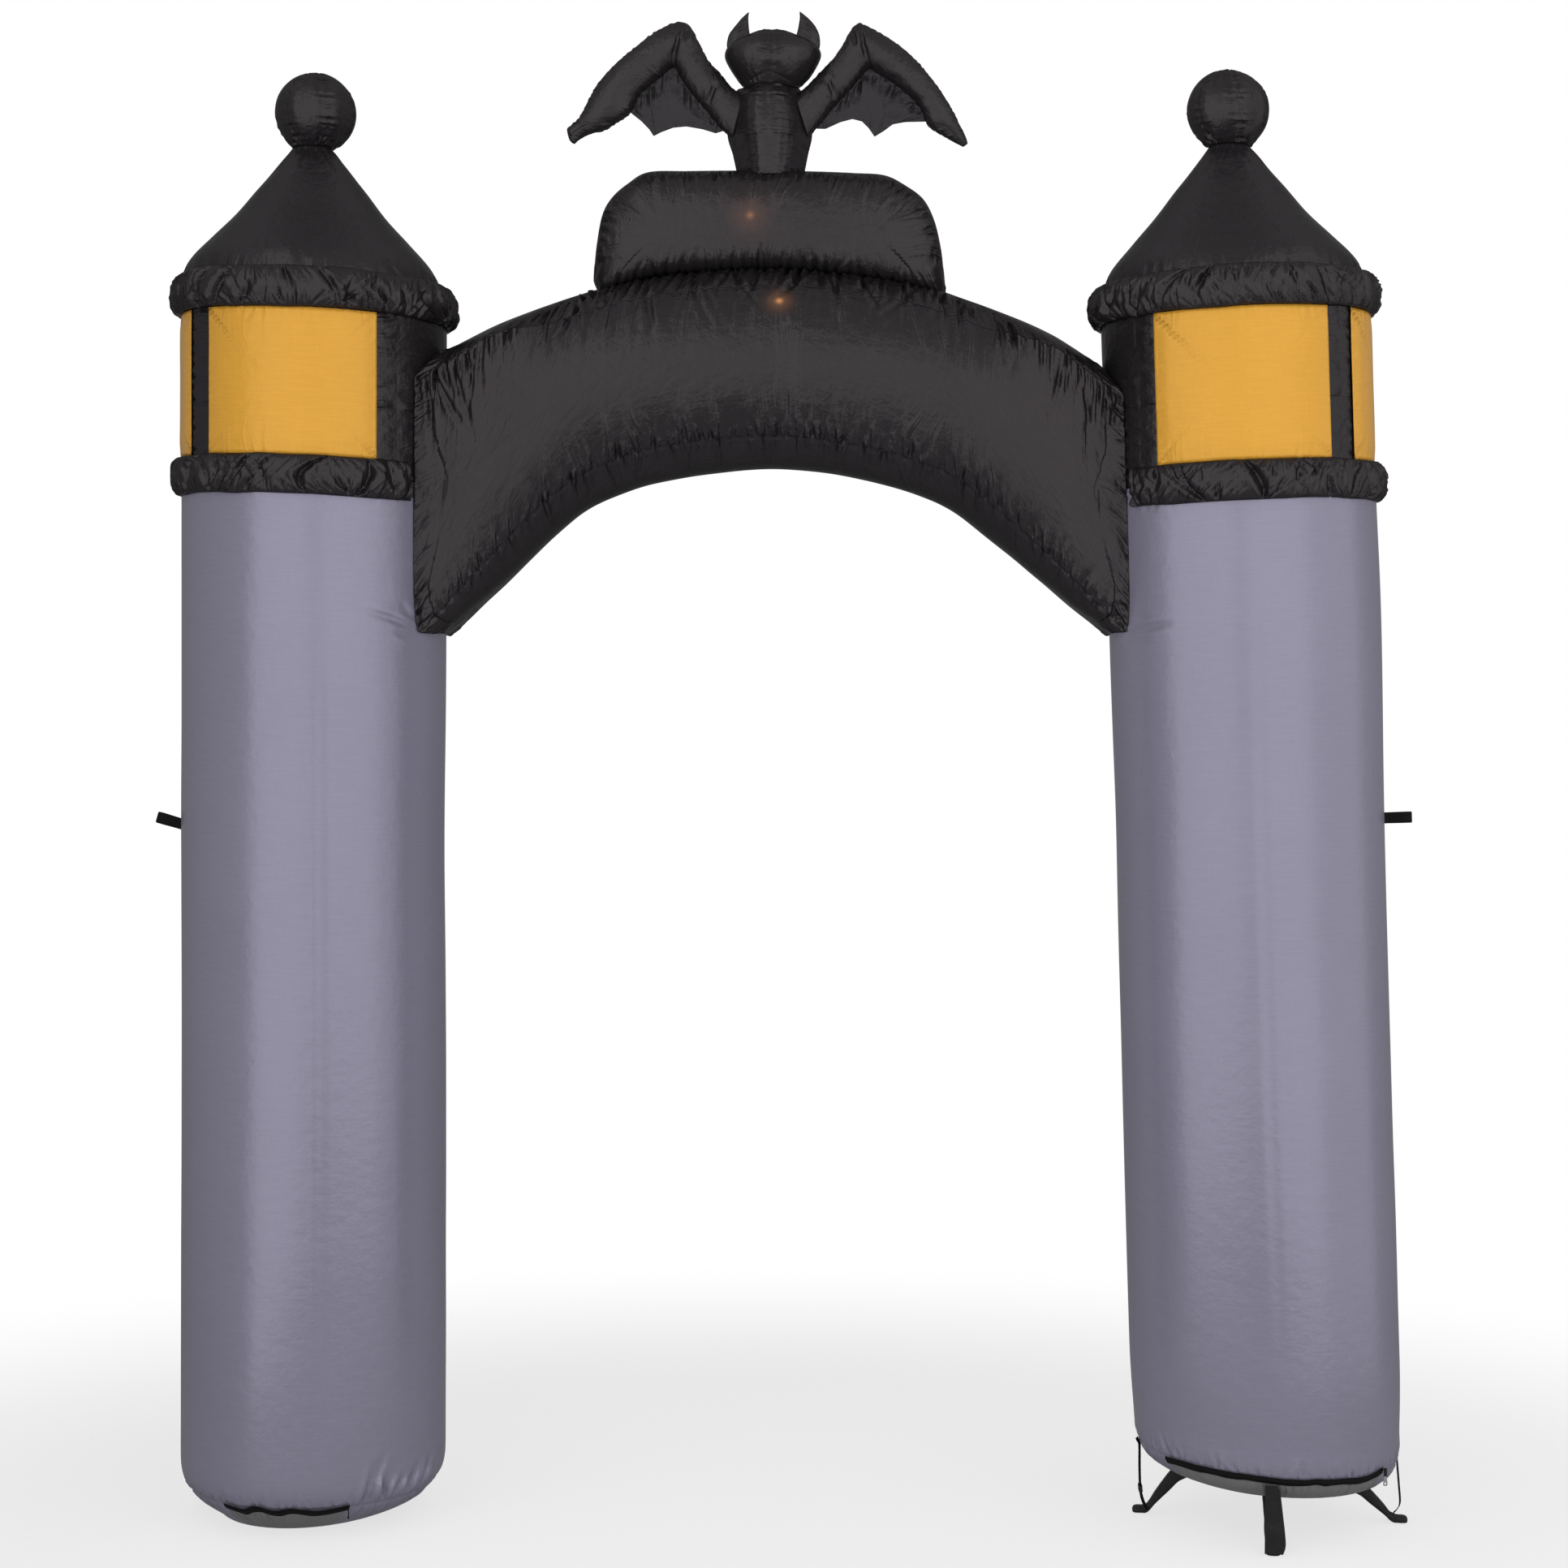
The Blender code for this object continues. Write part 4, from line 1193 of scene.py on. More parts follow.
@dataclass
class Turret:
    """Wall tube with its three window panels and the puckers beside their seams."""

    tower: Tower
    seed: int
    recess: float = 0.003
    turn_step: float = 1.6
    rise_step: float = 0.0063
    arch_seam: float = 31.8
    pane_turn: float = 0.95
    pane_rise: float = 0.0072
    hidden_share: float = 1.8
    places: tuple[str, ...] = ("rear", "outer", "front")

    def low(self) -> float:
        """Height of the windows' lower edge at the axis."""
        return self.tower.joint + ROLL_HALF_HEIGHT + SEWN_GAP

    def high(self) -> float:
        """Height of the windows' upper edge at the axis."""
        return self.tower.roll - ROLL_HALF_HEIGHT - SEWN_GAP

    def middles(self) -> dict[str, float]:
        """Middle angle of each window, by its name."""
        step = self.tower.side.outward * PANEL_PITCH
        return {name: self.tower.turn + step * order for order, name in enumerate(self.places)}

    def build(self) -> list[bpy.types.Object]:
        """Build the wall, then its windows.

        Returns:
            The wall and its windows.
        """
        tower = self.tower
        degrees = np.arange(0.0, 360.0, self.turn_step) - 180.0
        height = spaced((tower.joint + SEWN_GAP, tower.eaves, self.rise_step))[:, None]
        points = tower.place(degrees[None, :], np.full_like(height, TURRET_RADIUS), height, tower.level_slope)
        u = np.broadcast_to(np.radians(degrees) * TURRET_RADIUS, points.shape[:2])
        v = np.broadcast_to(height, points.shape[:2])
        cloth = Cloth(points, np.stack([u, v], axis=-1))
        around = 2.0 * math.pi * TURRET_RADIUS
        relief = Drift(self.seed, (0.12, 0.12), around).at(u, v) * 0.0006 - 0.0006
        inside = np.zeros(u.shape)
        for order, middle in enumerate(self.middles().values()):
            turn = wrapped(np.degrees(u / TURRET_RADIUS) - middle, 360.0)
            away = (np.abs(turn) - PANEL_ARC / 2.0) * math.radians(TURRET_RADIUS)
            inside = np.maximum(inside, ease(1.0 - away / 0.005))
            pleats = Pleats(
                self.seed + 3 + order, pitch=0.01, width=(0.004, 0.0062), reach=(0.012, 0.042), depth=(0.001, 0.0038),
                lean=0.3
            )
            relief += pleats.relief(v - self.low(), away, self.high() - self.low())
            cloth.gather(v, np.maximum(away, 0.0), ease((0.05 - np.abs(away)) / 0.03))
        for order, seat in enumerate((-self.arch_seam, self.arch_seam)):
            turn = wrapped(np.degrees(u / TURRET_RADIUS) - tower.inward - 90.0 - seat, 360.0)
            away = np.abs(turn) * math.radians(TURRET_RADIUS)
            ticks = Pleats(
                self.seed + 6 + order, pitch=0.009, width=(0.0038, 0.0058), reach=(0.014, 0.045), depth=(0.0012, 0.004),
                lean=0.25
            )
            relief += ticks.relief(v - tower.joint, away, 0.22)
            cloth.gather(v, away, ease((0.05 - away) / 0.03) * ease((2.11 - v) / 0.05))
        rolled = Pleats(
            self.seed + 8, pitch=0.014, width=(0.0045, 0.007), reach=(0.025, 0.065), depth=(0.001, 0.0036), lean=0.5
        )
        relief += rolled.relief(u, tower.roll - v, around, True) + rolled.relief(u + 0.3, v - tower.joint, around, True)
        cloth.press(relief * (1.0 - inside) - self.recess * inside)
        made = [filled(cloth, "turret_" + tower.side.value)]
        made += [self.window(name, middle) for name, middle in self.middles().items()]
        return made

    def window(self, name: str, middle: float) -> bpy.types.Object:
        """One amber panel, stretched between its seams.

        Args:
            name: Where it is.
            middle: Its middle angle from the rear.

        Returns:
            The panel.
        """
        spread = self.hidden_share if name == "front" else 1.0
        degrees = spaced((middle - PANEL_ARC / 2.0, middle + PANEL_ARC / 2.0, self.pane_turn * spread))[:, None]
        level = spaced((self.low(), self.high(), self.pane_rise * spread))
        width = math.radians(PANEL_ARC) * ROLL_INNER
        u = np.broadcast_to((np.radians(degrees - middle)) * ROLL_INNER, (len(degrees), len(level)))
        v = np.broadcast_to(level[None, :] - self.low(), u.shape)
        tall = level[-1] - level[0]
        side_away, level_away = width / 2.0 - np.abs(u), np.minimum(v, tall - v)
        seed = self.seed + 20 + len(name) + round(middle) % 7
        relief = 0.0022 * ease(side_away / 0.03) * ease(level_away / 0.03)
        relief += Drift(seed, (0.06, 0.06)).at(u + 1.0, v + 1.0) * 0.0005
        upper = Pleats(
            seed + 1, pitch=0.011, width=(0.0031, 0.0051), reach=(0.008, 0.03), depth=(0.0009, 0.0031), lean=0.5
        )
        relief += upper.relief(u + width / 2.0, tall - v, width)
        lower = Pleats(
            seed + 2, pitch=0.012, width=(0.0031, 0.0051), reach=(0.006, 0.022), depth=(0.0006, 0.0025), lean=0.5
        )
        relief += lower.relief(u + width / 2.0, v, width)
        beside = Pleats(
            seed + 3, pitch=0.01, width=(0.0031, 0.0049), reach=(0.005, 0.02), depth=(0.0009, 0.0028), lean=0.3
        )
        relief += beside.relief(v, side_away, tall)
        outer, inner = (
            self.tower.place(degrees, ROLL_INNER + skin + relief, level[None, :], self.tower.level_slope)
            for skin in (0.0007, -0.0005)
        )
        points = np.concatenate([outer, inner[:, ::-1]], axis=1)
        lay = np.stack([u, v], axis=-1)
        run, away = np.where(side_away < level_away, v, u), np.minimum(side_away, level_away)
        pucker = np.stack([run, away, ease(np.abs(side_away - level_away) / 0.01) * 0.6], axis=-1)
        lay, pucker = (np.concatenate([part, part[:, ::-1]], axis=1) for part in (lay, pucker))
        cloth = Cloth(points, lay, pucker)
        node = "window_" + self.tower.side.value + "_" + name
        made = dress(cloth.build(node), AMBER, node)
        return made


@dataclass
class Roll:
    """Gathered roll round the wall, drawn into deep slanting folds."""

    tower: Tower
    name: str
    middle: float
    seed: int
    opening: float = 0.0
    folds: tuple[tuple[float, float], ...] = ()
    rise: float = 0.0345
    swell: float = ROLL_SWELL
    step: float = 0.66
    crease_pitch: float = 0.0068

    def build(self) -> bpy.types.Object:
        """Build the roll, a ring or a piece with two ends.

        Returns:
            The roll.
        """
        tower = self.tower
        ring = self.opening == 0.0
        start = tower.inward + 90.0 + self.opening
        degrees = np.arange(start, start + 360.0 - 2.0 * self.opening + (0.0 if ring else 0.01), self.step)
        turn = np.radians(np.concatenate([np.linspace(-90.0, 90.0, 31), [140.0, 180.0, 220.0]]))
        s = np.broadcast_to((np.radians(wrapped(degrees, 360.0)) * FOLD_RADIUS)[:, None], (len(degrees), len(turn)))
        drift = Drift(self.seed, (0.05, 0.05), 2.0 * math.pi * FOLD_RADIUS)
        edge = 1.0 + 0.05 * drift.at(s, np.sign(np.sin(turn))[None, :] * 0.2 + 1.0)
        front = np.cos(turn)[None, :] > -0.01
        high = np.sin(turn)[None, :] * self.rise * np.where(front, edge, 0.55)
        round_front = np.maximum(np.cos(turn)[None, :], 0.0)
        plump = self.swell * (0.95 + 0.16 * drift.at(s, 3.0 + 0.0 * s))
        fullness = np.where((np.sin(turn) > 0.0) & ring, 1.1, 0.8)[None, :]
        bulge = np.where(front, round_front**fullness * plump, 0.0)
        relief = self.relief(s, high) * np.where(front, round_front**0.5, 0.0)
        if not ring:
            ending = np.minimum(degrees - degrees[0], degrees[-1] - degrees)[:, None] * math.radians(FOLD_RADIUS)
            bulge = bulge * (0.62 + 0.38 * ease(ending / 0.035))
        radius = ROLL_INNER + np.maximum(bulge + relief, 0.0)
        points = tower.place(degrees[:, None], radius, self.middle + high, tower.level_slope)
        cloth = Cloth(points, np.stack([s, high], axis=-1), ring=ring)
        cloth.gather(s, np.full(s.shape, 0.01), np.full(s.shape, 0.5))
        return filled(cloth, self.name, ends=Ends.RING if ring else Ends.CAPPED)

    def relief(self, s: Array, high: Array) -> Array:
        """Valleys of the folds.

        Args:
            s: Metres round the wall from the rear.
            high: Metres above the roll's middle.

        Returns:
            Metres outward.
        """
        rng = np.random.default_rng(self.seed + 1)
        around = 2.0 * math.pi * FOLD_RADIUS
        mains = [(math.radians(place) * FOLD_RADIUS, lean) for place, lean in self.folds]
        taken, place = [row[0] for row in mains], -around / 2.0
        while place < around / 2.0:
            if not taken or not min(taken) - 0.02 < place < max(taken) + 0.02:
                mains.append((place, rng.choice((-1.0, 1.0)) * rng.uniform(0.1, 0.9)))
            place += rng.uniform(0.024, 0.066)
        level = high / self.rise
        total = np.zeros(np.shape(s))
        for place, lean in mains:
            bend, one_sided = rng.normal(0.0, 9.0), rng.choice((-1.0, 0.0, 1.0))
            depth, width = rng.uniform(0.008, 0.015), rng.uniform(0.0036, 0.0062)
            gap = wrapped(s - place - lean * high - bend * high * high, around)
            share = 1.0 - 0.85 * ease(0.5 + one_sided * level * 0.7) * abs(one_sided)
            q = gap / (width * (0.65 + 0.75 * (1.0 - level * level)))
            steep = np.where(q * lean > 0.0, 0.75, 1.7)
            lip, valley = np.exp(-((np.abs(q) - 2.4) ** 2) / 1.6), np.exp(-((np.abs(q) * steep) ** 1.25))
            total += depth * share * (0.34 * lip - valley)
        slopes = Drift(self.seed + 2, (0.075, 1.0), around)
        for edge in (-1.0, 1.0):
            from_edge = self.rise - edge * high
            for _ in range(int(around / self.crease_pitch)):
                place, reach = rng.uniform(-around / 2.0, around / 2.0), rng.uniform(0.014, 0.055)
                lean = float(slopes.at(np.array([place]), np.array([edge]))[0]) * 1.3 + rng.normal(0.0, 0.3)
                depth, width = rng.uniform(0.0018, 0.0062), rng.uniform(0.0017, 0.0034)
                gap = wrapped(s - place - lean * from_edge, around)
                q = np.abs(gap) / (width * (0.7 + from_edge / 0.035))
                lip, valley = np.exp(-((q - 1.9) ** 2)), np.exp(-(q**1.5))
                total += depth * ease((1.0 - from_edge / reach) / 0.6) * (0.35 * lip - valley)
        return total


@dataclass
class Roof:
    """Cone of a turret, with the ball on its point."""

    tower: Tower
    seed: int
    gores: tuple[float, ...]
    rows: int = 80
    step: float = 2.0
    ball_rows: int = 66
    ball_step: float = 3.0
    profile: tuple[tuple[float, float], ...] = (
        (0.0, TURRET_RADIUS), (0.0345, 0.2345), (0.0725, 0.219), (0.1165, 0.18), (0.1615, 0.138),
        (0.2065, 0.102), (0.2355, 0.0775), (0.2655, 0.0535), (0.2805, 0.0415), (0.2905, 0.0355),
    )  # fmt: skip

    def base(self) -> float:
        """Height of the cone's base at the axis."""
        return self.tower.eaves + SEWN_GAP

    def build(self) -> list[bpy.types.Object]:
        """Build the cone, with its gathers and its ball.

        Returns:
            The cone and its ball.
        """
        tower, rise = self.tower, self.profile[-1][0]
        track = Track(self.profile)
        line = track.at(np.linspace(0.0, track.last, 400))
        run = lengths(line)
        wanted = np.linspace(0.0, run[-1], self.rows)
        offset, radius = (np.interp(wanted, run, line[:, axis])[:, None] for axis in range(2))
        degrees = np.arange(0.0, 360.0, self.step) - 180.0
        points = tower.place(degrees[None, :], radius, self.base() + offset, tower.level_slope * (1.0 - offset / rise))
        points[..., 0] += tower.tip * ease(offset / 0.045)
        angle = np.broadcast_to(np.radians(degrees), points.shape[:2])
        away = np.broadcast_to(wanted[:, None], angle.shape)
        cloth = Cloth(points, np.stack([angle * np.maximum(radius, 0.08), away], axis=-1))
        around = 2.0 * math.pi * TURRET_RADIUS
        relief = Drift(self.seed, (0.14, 0.1), around).at(angle * TURRET_RADIUS, away) * 0.001
        rolled = Pleats(
            self.seed + 1, pitch=0.017, width=(0.0046, 0.0074), reach=(0.045, 0.11), depth=(0.0016, 0.0069), lean=0.25
        )
        relief += rolled.relief(angle * TURRET_RADIUS, away, around, True)
        tip = Pleats(
            self.seed + 2, pitch=0.05, width=(0.013, 0.0243), reach=(0.03, 0.11), depth=(0.0012, 0.0038), lean=0.2
        )
        relief += tip.relief(angle * TURRET_RADIUS, run[-1] - away, around, True) * np.minimum(1.0, radius / 0.08)
        cloth.press(relief * ease((run[-1] - away) / 0.012))
        cloth.gather(angle * TURRET_RADIUS, away, np.full(away.shape, 0.8))
        return [filled(cloth, "roof_" + tower.side.value), self.finial()]

    def finial(self) -> bpy.types.Object:
        """Build the ball, sewn from gores.

        Returns:
            The ball.
        """
        tower = self.tower
        first = math.asin(FINIAL_NECK / FINIAL_RADIUS)
        centre = self.base() + self.profile[-1][0] + SEWN_GAP + FINIAL_RADIUS * math.cos(first)
        polar = np.linspace(first, math.pi - 0.035, self.ball_rows)[:, None]
        degrees = np.arange(0.0, 360.0, self.ball_step) - 180.0
        radius = FINIAL_RADIUS * np.sin(polar)
        height = centre - FINIAL_RADIUS * np.cos(polar)
        points = tower.place(degrees[None, :], radius, height, 0.0)
        points[..., 0] += tower.tip * np.exp(-(polar - first) / 0.16)
        angle = np.broadcast_to(np.radians(degrees), points.shape[:2])
        run = np.broadcast_to(polar * FINIAL_RADIUS, angle.shape)
        cloth = Cloth(points, np.stack([angle * FINIAL_RADIUS, run], axis=-1))
        around = 2.0 * math.pi * FINIAL_RADIUS
        relief = Drift(self.seed + 5, (0.05, 0.05), around).at(angle * FINIAL_RADIUS, run) * 0.0012
        for order, gore in enumerate(self.gores):
            lean = np.radians(gore + 4.0 * np.sin(run * 28.0 + order))
            away = np.abs(wrapped(angle - lean, 2.0 * math.pi)) * radius
            relief += Seam(width=0.003, depth=0.0022).relief(away)
            pleats = Pleats(
                self.seed + 6 + order, pitch=0.01, width=(0.0026, 0.0046), reach=(0.006, 0.022), depth=(0.0009, 0.0031),
                lean=0.3
            )
            relief += pleats.relief(run, away, math.pi * FINIAL_RADIUS)
            cloth.gather(run, away, ease((0.035 - away) / 0.02))
        neck = Pleats(
            self.seed + 14, pitch=0.022, width=(0.0039, 0.0081), reach=(0.012, 0.045), depth=(0.0023, 0.0076), lean=0.2
        )
        relief += neck.relief(angle * FINIAL_RADIUS, run - run.min(), around, True)
        cloth.press(relief * ease((run - run.min()) / 0.006) * ease((run.max() - run) / 0.006))
        return filled(cloth, "finial_" + tower.side.value)


# Arch tube: soffit x and z, top x and z, half thickness, squareness below and above
ARCH_STATIONS = (
    (-0.715, 1.5, -0.76, 2.02, 0.127, 7.0, 3.0), (-0.66, 1.548, -0.705, 2.058, 0.127, 7.0, 3.0),
    (-0.601, 1.603, -0.64, 2.098, 0.128, 5.0, 2.8), (-0.548, 1.648, -0.59, 2.121, 0.136, 3.2, 2.5),
    (-0.498, 1.692, -0.535, 2.149, 0.144, 2.5, 2.3), (-0.45, 1.738, -0.48, 2.174, 0.151, 2.2, 2.1),
    (-0.404, 1.781, -0.425, 2.196, 0.155, 2.05, 2.05), (-0.349, 1.825, -0.365, 2.217, 0.156, 2.0, 2.0),
    (-0.29, 1.854, -0.305, 2.234, 0.156, 2.0, 2.0), (-0.22, 1.877, -0.235, 2.249, 0.156, 2.0, 2.0),
    (-0.12, 1.893, -0.125, 2.263, 0.156, 2.0, 2.0), (-0.01, 1.901, -0.012, 2.268, 0.156, 2.0, 2.0),
    (0.095, 1.893, 0.1, 2.262, 0.156, 2.0, 2.0), (0.185, 1.874, 0.205, 2.246, 0.156, 2.0, 2.0),
    (0.262, 1.85, 0.28, 2.228, 0.156, 2.0, 2.0), (0.322, 1.822, 0.34, 2.207, 0.156, 2.0, 2.0),
    (0.376, 1.779, 0.4, 2.184, 0.154, 2.05, 2.05), (0.43, 1.735, 0.455, 2.16, 0.15, 2.2, 2.1),
    (0.482, 1.692, 0.51, 2.131, 0.142, 2.5, 2.3), (0.535, 1.648, 0.56, 2.099, 0.13, 3.2, 2.5),
    (0.594, 1.602, 0.61, 2.062, 0.12, 5.0, 2.8), (0.65, 1.55, 0.67, 2.02, 0.118, 7.0, 3.0),
    (0.705, 1.5, 0.725, 1.98, 0.118, 7.0, 3.0),
)  # fmt: skip
# Crest pillow: bottom x and z, top x and z, half thickness
CREST_STATIONS = (
    (-0.3345, 2.24, -0.333, 2.275, 0.006), (-0.329, 2.228, -0.3275, 2.318, 0.024),
    (-0.318, 2.218, -0.3175, 2.367, 0.042), (-0.3, 2.22, -0.3, 2.397, 0.056), (-0.275, 2.228, -0.272, 2.421, 0.068),
    (-0.235, 2.238, -0.233, 2.442, 0.078), (-0.16, 2.246, -0.16, 2.443, 0.085), (-0.08, 2.25, -0.08, 2.443, 0.088),
    (-0.01, 2.251, -0.01, 2.442, 0.088), (0.07, 2.246, 0.07, 2.44, 0.088), (0.14, 2.238, 0.14, 2.437, 0.084),
    (0.191, 2.23, 0.1965, 2.4325, 0.078), (0.234, 2.222, 0.2345, 2.414, 0.068), (0.265, 2.214, 0.2672, 2.3885, 0.056),
    (0.288, 2.208, 0.287, 2.35, 0.042), (0.302, 2.208, 0.2988, 2.3, 0.024), (0.3075, 2.214, 0.3035, 2.262, 0.006),
)  # fmt: skip
# Bat body and head: height, left x, right x, half thickness
BODY_LEVELS = (
    (2.43, -0.069, 0.048, 0.048), (2.47, -0.079, 0.056, 0.055), (2.505, -0.089, 0.064, 0.06),
    (2.54, -0.09, 0.062, 0.058), (2.565, -0.086, 0.054, 0.052), (2.587, -0.074, 0.044, 0.045),
    (2.5955, -0.062, 0.038, 0.04),
)  # fmt: skip
HEAD_LEVELS = (
    (2.5962, -0.06, 0.042, 0.042), (2.612, -0.074, 0.06, 0.056), (2.632, -0.086, 0.073, 0.068),
    (2.65, -0.0935, 0.0805, 0.07), (2.664, -0.0905, 0.0775, 0.0675), (2.6755, -0.078, 0.0645, 0.0605),
    (2.6855, -0.057, 0.0425, 0.0495), (2.6935, -0.036, 0.022, 0.0345), (2.698, -0.0145, 0.0015, 0.0125),
)  # fmt: skip
# Ears: outer x and z, inner x and z, half thickness
EAR_STATIONS = {
    Side.LEFT: (
        (-0.086, 2.65, -0.046, 2.66, 0.014), (-0.0915, 2.67, -0.047, 2.676, 0.014),
        (-0.09, 2.685, -0.0485, 2.69, 0.013), (-0.0855, 2.696, -0.05, 2.699, 0.012),
        (-0.075, 2.709, -0.0508, 2.709, 0.009), (-0.064, 2.722, -0.0515, 2.722, 0.006),
        (-0.0535, 2.7315, -0.0505, 2.7325, 0.002),
    ),
    Side.RIGHT: (
        (0.073, 2.65, 0.033, 2.66, 0.014), (0.0785, 2.67, 0.034, 2.676, 0.014), (0.0785, 2.685, 0.0355, 2.69, 0.013),
        (0.0755, 2.696, 0.038, 2.699, 0.012), (0.068, 2.709, 0.04, 2.709, 0.009), (0.056, 2.722, 0.042, 2.722, 0.006),
        (0.0445, 2.7315, 0.0415, 2.7325, 0.002),
    ),
}  # fmt: skip
# Wing tubes over the wrist to the tip: inner x and z, outer x and z, half thickness
WING_STATIONS = {
    Side.LEFT: (
        (-0.08, 2.5, -0.0575, 2.583, 0.026), (-0.1, 2.519, -0.079, 2.594, 0.028), (-0.122, 2.545, -0.101, 2.6205, 0.03),
        (-0.145, 2.573, -0.124, 2.645, 0.031), (-0.168, 2.603, -0.141, 2.677, 0.032),
        (-0.1835, 2.629, -0.158, 2.708, 0.034), (-0.1865, 2.6325, -0.172, 2.7155, 0.035),
        (-0.189, 2.6325, -0.19, 2.7135, 0.035), (-0.196, 2.628, -0.222, 2.698, 0.035),
        (-0.213, 2.615, -0.262, 2.669, 0.034), (-0.232, 2.6, -0.297, 2.639, 0.034),
        (-0.25, 2.583, -0.325, 2.608, 0.033), (-0.268, 2.551, -0.343, 2.579, 0.031),
        (-0.285, 2.538, -0.354, 2.556, 0.028), (-0.313, 2.521, -0.364, 2.541, 0.022),
        (-0.34, 2.514, -0.375, 2.531, 0.016), (-0.3595, 2.504, -0.3835, 2.524, 0.013),
        (-0.369, 2.4965, -0.3815, 2.51, 0.009), (-0.3745, 2.498, -0.379, 2.503, 0.003),
    ),
    Side.RIGHT: (
        (0.058, 2.5, 0.032, 2.58, 0.026), (0.074, 2.522, 0.055, 2.597, 0.028), (0.098, 2.549, 0.08, 2.623, 0.03),
        (0.121, 2.575, 0.105, 2.649, 0.031), (0.145, 2.602, 0.124, 2.677, 0.032), (0.163, 2.622, 0.139, 2.702, 0.034),
        (0.1675, 2.6262, 0.151, 2.7095, 0.035), (0.1705, 2.6255, 0.172, 2.7005, 0.035),
        (0.186, 2.616, 0.208, 2.68, 0.035), (0.205, 2.605, 0.24, 2.655, 0.034), (0.222, 2.593, 0.268, 2.625, 0.034),
        (0.24, 2.577, 0.292, 2.594, 0.032), (0.256, 2.56, 0.31, 2.566, 0.03), (0.2665, 2.54, 0.323, 2.544, 0.027),
        (0.274, 2.523, 0.331, 2.528, 0.024), (0.292, 2.51, 0.339, 2.513, 0.018), (0.316, 2.496, 0.345, 2.499, 0.012),
        (0.338, 2.484, 0.347, 2.49, 0.005),
    ),
}  # fmt: skip
# Creases of the wing tubes, x and z
WING_CREASES = {
    Side.LEFT: (
        ((-0.172, 2.712), (-0.18, 2.668), (-0.19, 2.634)), ((-0.16, 2.703), (-0.168, 2.672)),
        ((-0.108, 2.6), (-0.125, 2.56)),
    ),
    Side.RIGHT: (
        ((0.15, 2.706), (0.158, 2.664), (0.168, 2.63)), ((0.138, 2.694), (0.146, 2.66)),
        ((0.092, 2.606), (0.108, 2.57)),
    ),
}  # fmt: skip
# Free corners of the membranes, by x
MEMBRANE_CORNERS = {Side.LEFT: -0.265, Side.RIGHT: 0.27}
# Membrane outlines, x and z
MEMBRANES = {
    Side.LEFT: (
        (-0.099, 2.5165), (-0.1225, 2.544), (-0.1457, 2.572), (-0.1685, 2.602), (-0.184, 2.6275), (-0.188, 2.6315),
        (-0.1955, 2.627), (-0.2125, 2.614), (-0.2315, 2.5988), (-0.2492, 2.5818), (-0.265, 2.552), (-0.248, 2.537),
        (-0.233, 2.5215), (-0.225, 2.509), (-0.211, 2.516), (-0.189, 2.524), (-0.165, 2.526), (-0.135, 2.5205),
        (-0.1115, 2.513),
    ),
    Side.RIGHT: (
        (0.073, 2.5195), (0.0978, 2.5476), (0.1208, 2.5736), (0.1448, 2.6006), (0.1625, 2.6203), (0.169, 2.6245),
        (0.1855, 2.6148), (0.2043, 2.604), (0.2211, 2.5922), (0.239, 2.5763), (0.2549, 2.5594), (0.265, 2.54),
        (0.27, 2.528), (0.233, 2.53), (0.211, 2.526), (0.194, 2.5135), (0.178, 2.504), (0.167, 2.52), (0.155, 2.532),
        (0.138, 2.5365), (0.116, 2.531), (0.089, 2.519),
    ),
}  # fmt: skip


def girths(points: Array) -> tuple[Array, Array]:
    """Distance run round each section of a grid of points, and the whole way round it."""
    arc = lengths(np.concatenate([points, points[:, :1]], axis=1), axis=1)
    return arc[:, :-1], arc[:, -1:]


def by_length(
    track: Track, columns: tuple[int, ...], count: int, first: float = 0.0, last: Optional[float] = None
) -> Array:
    """Places in a table that are evenly spread over the length of its line.

    Args:
        track: The table.
        columns: Columns that hold the line's coordinates.
        count: How many places.
        first: Place to start at.
        last: Place to stop at, the table's end if none is given.

    Returns:
        The places.
    """
    fine = np.linspace(first, track.last if last is None else last, 2000)
    run = lengths(track.at(fine)[:, list(columns)])
    return np.interp(np.linspace(0.0, run[-1], count), run, fine)


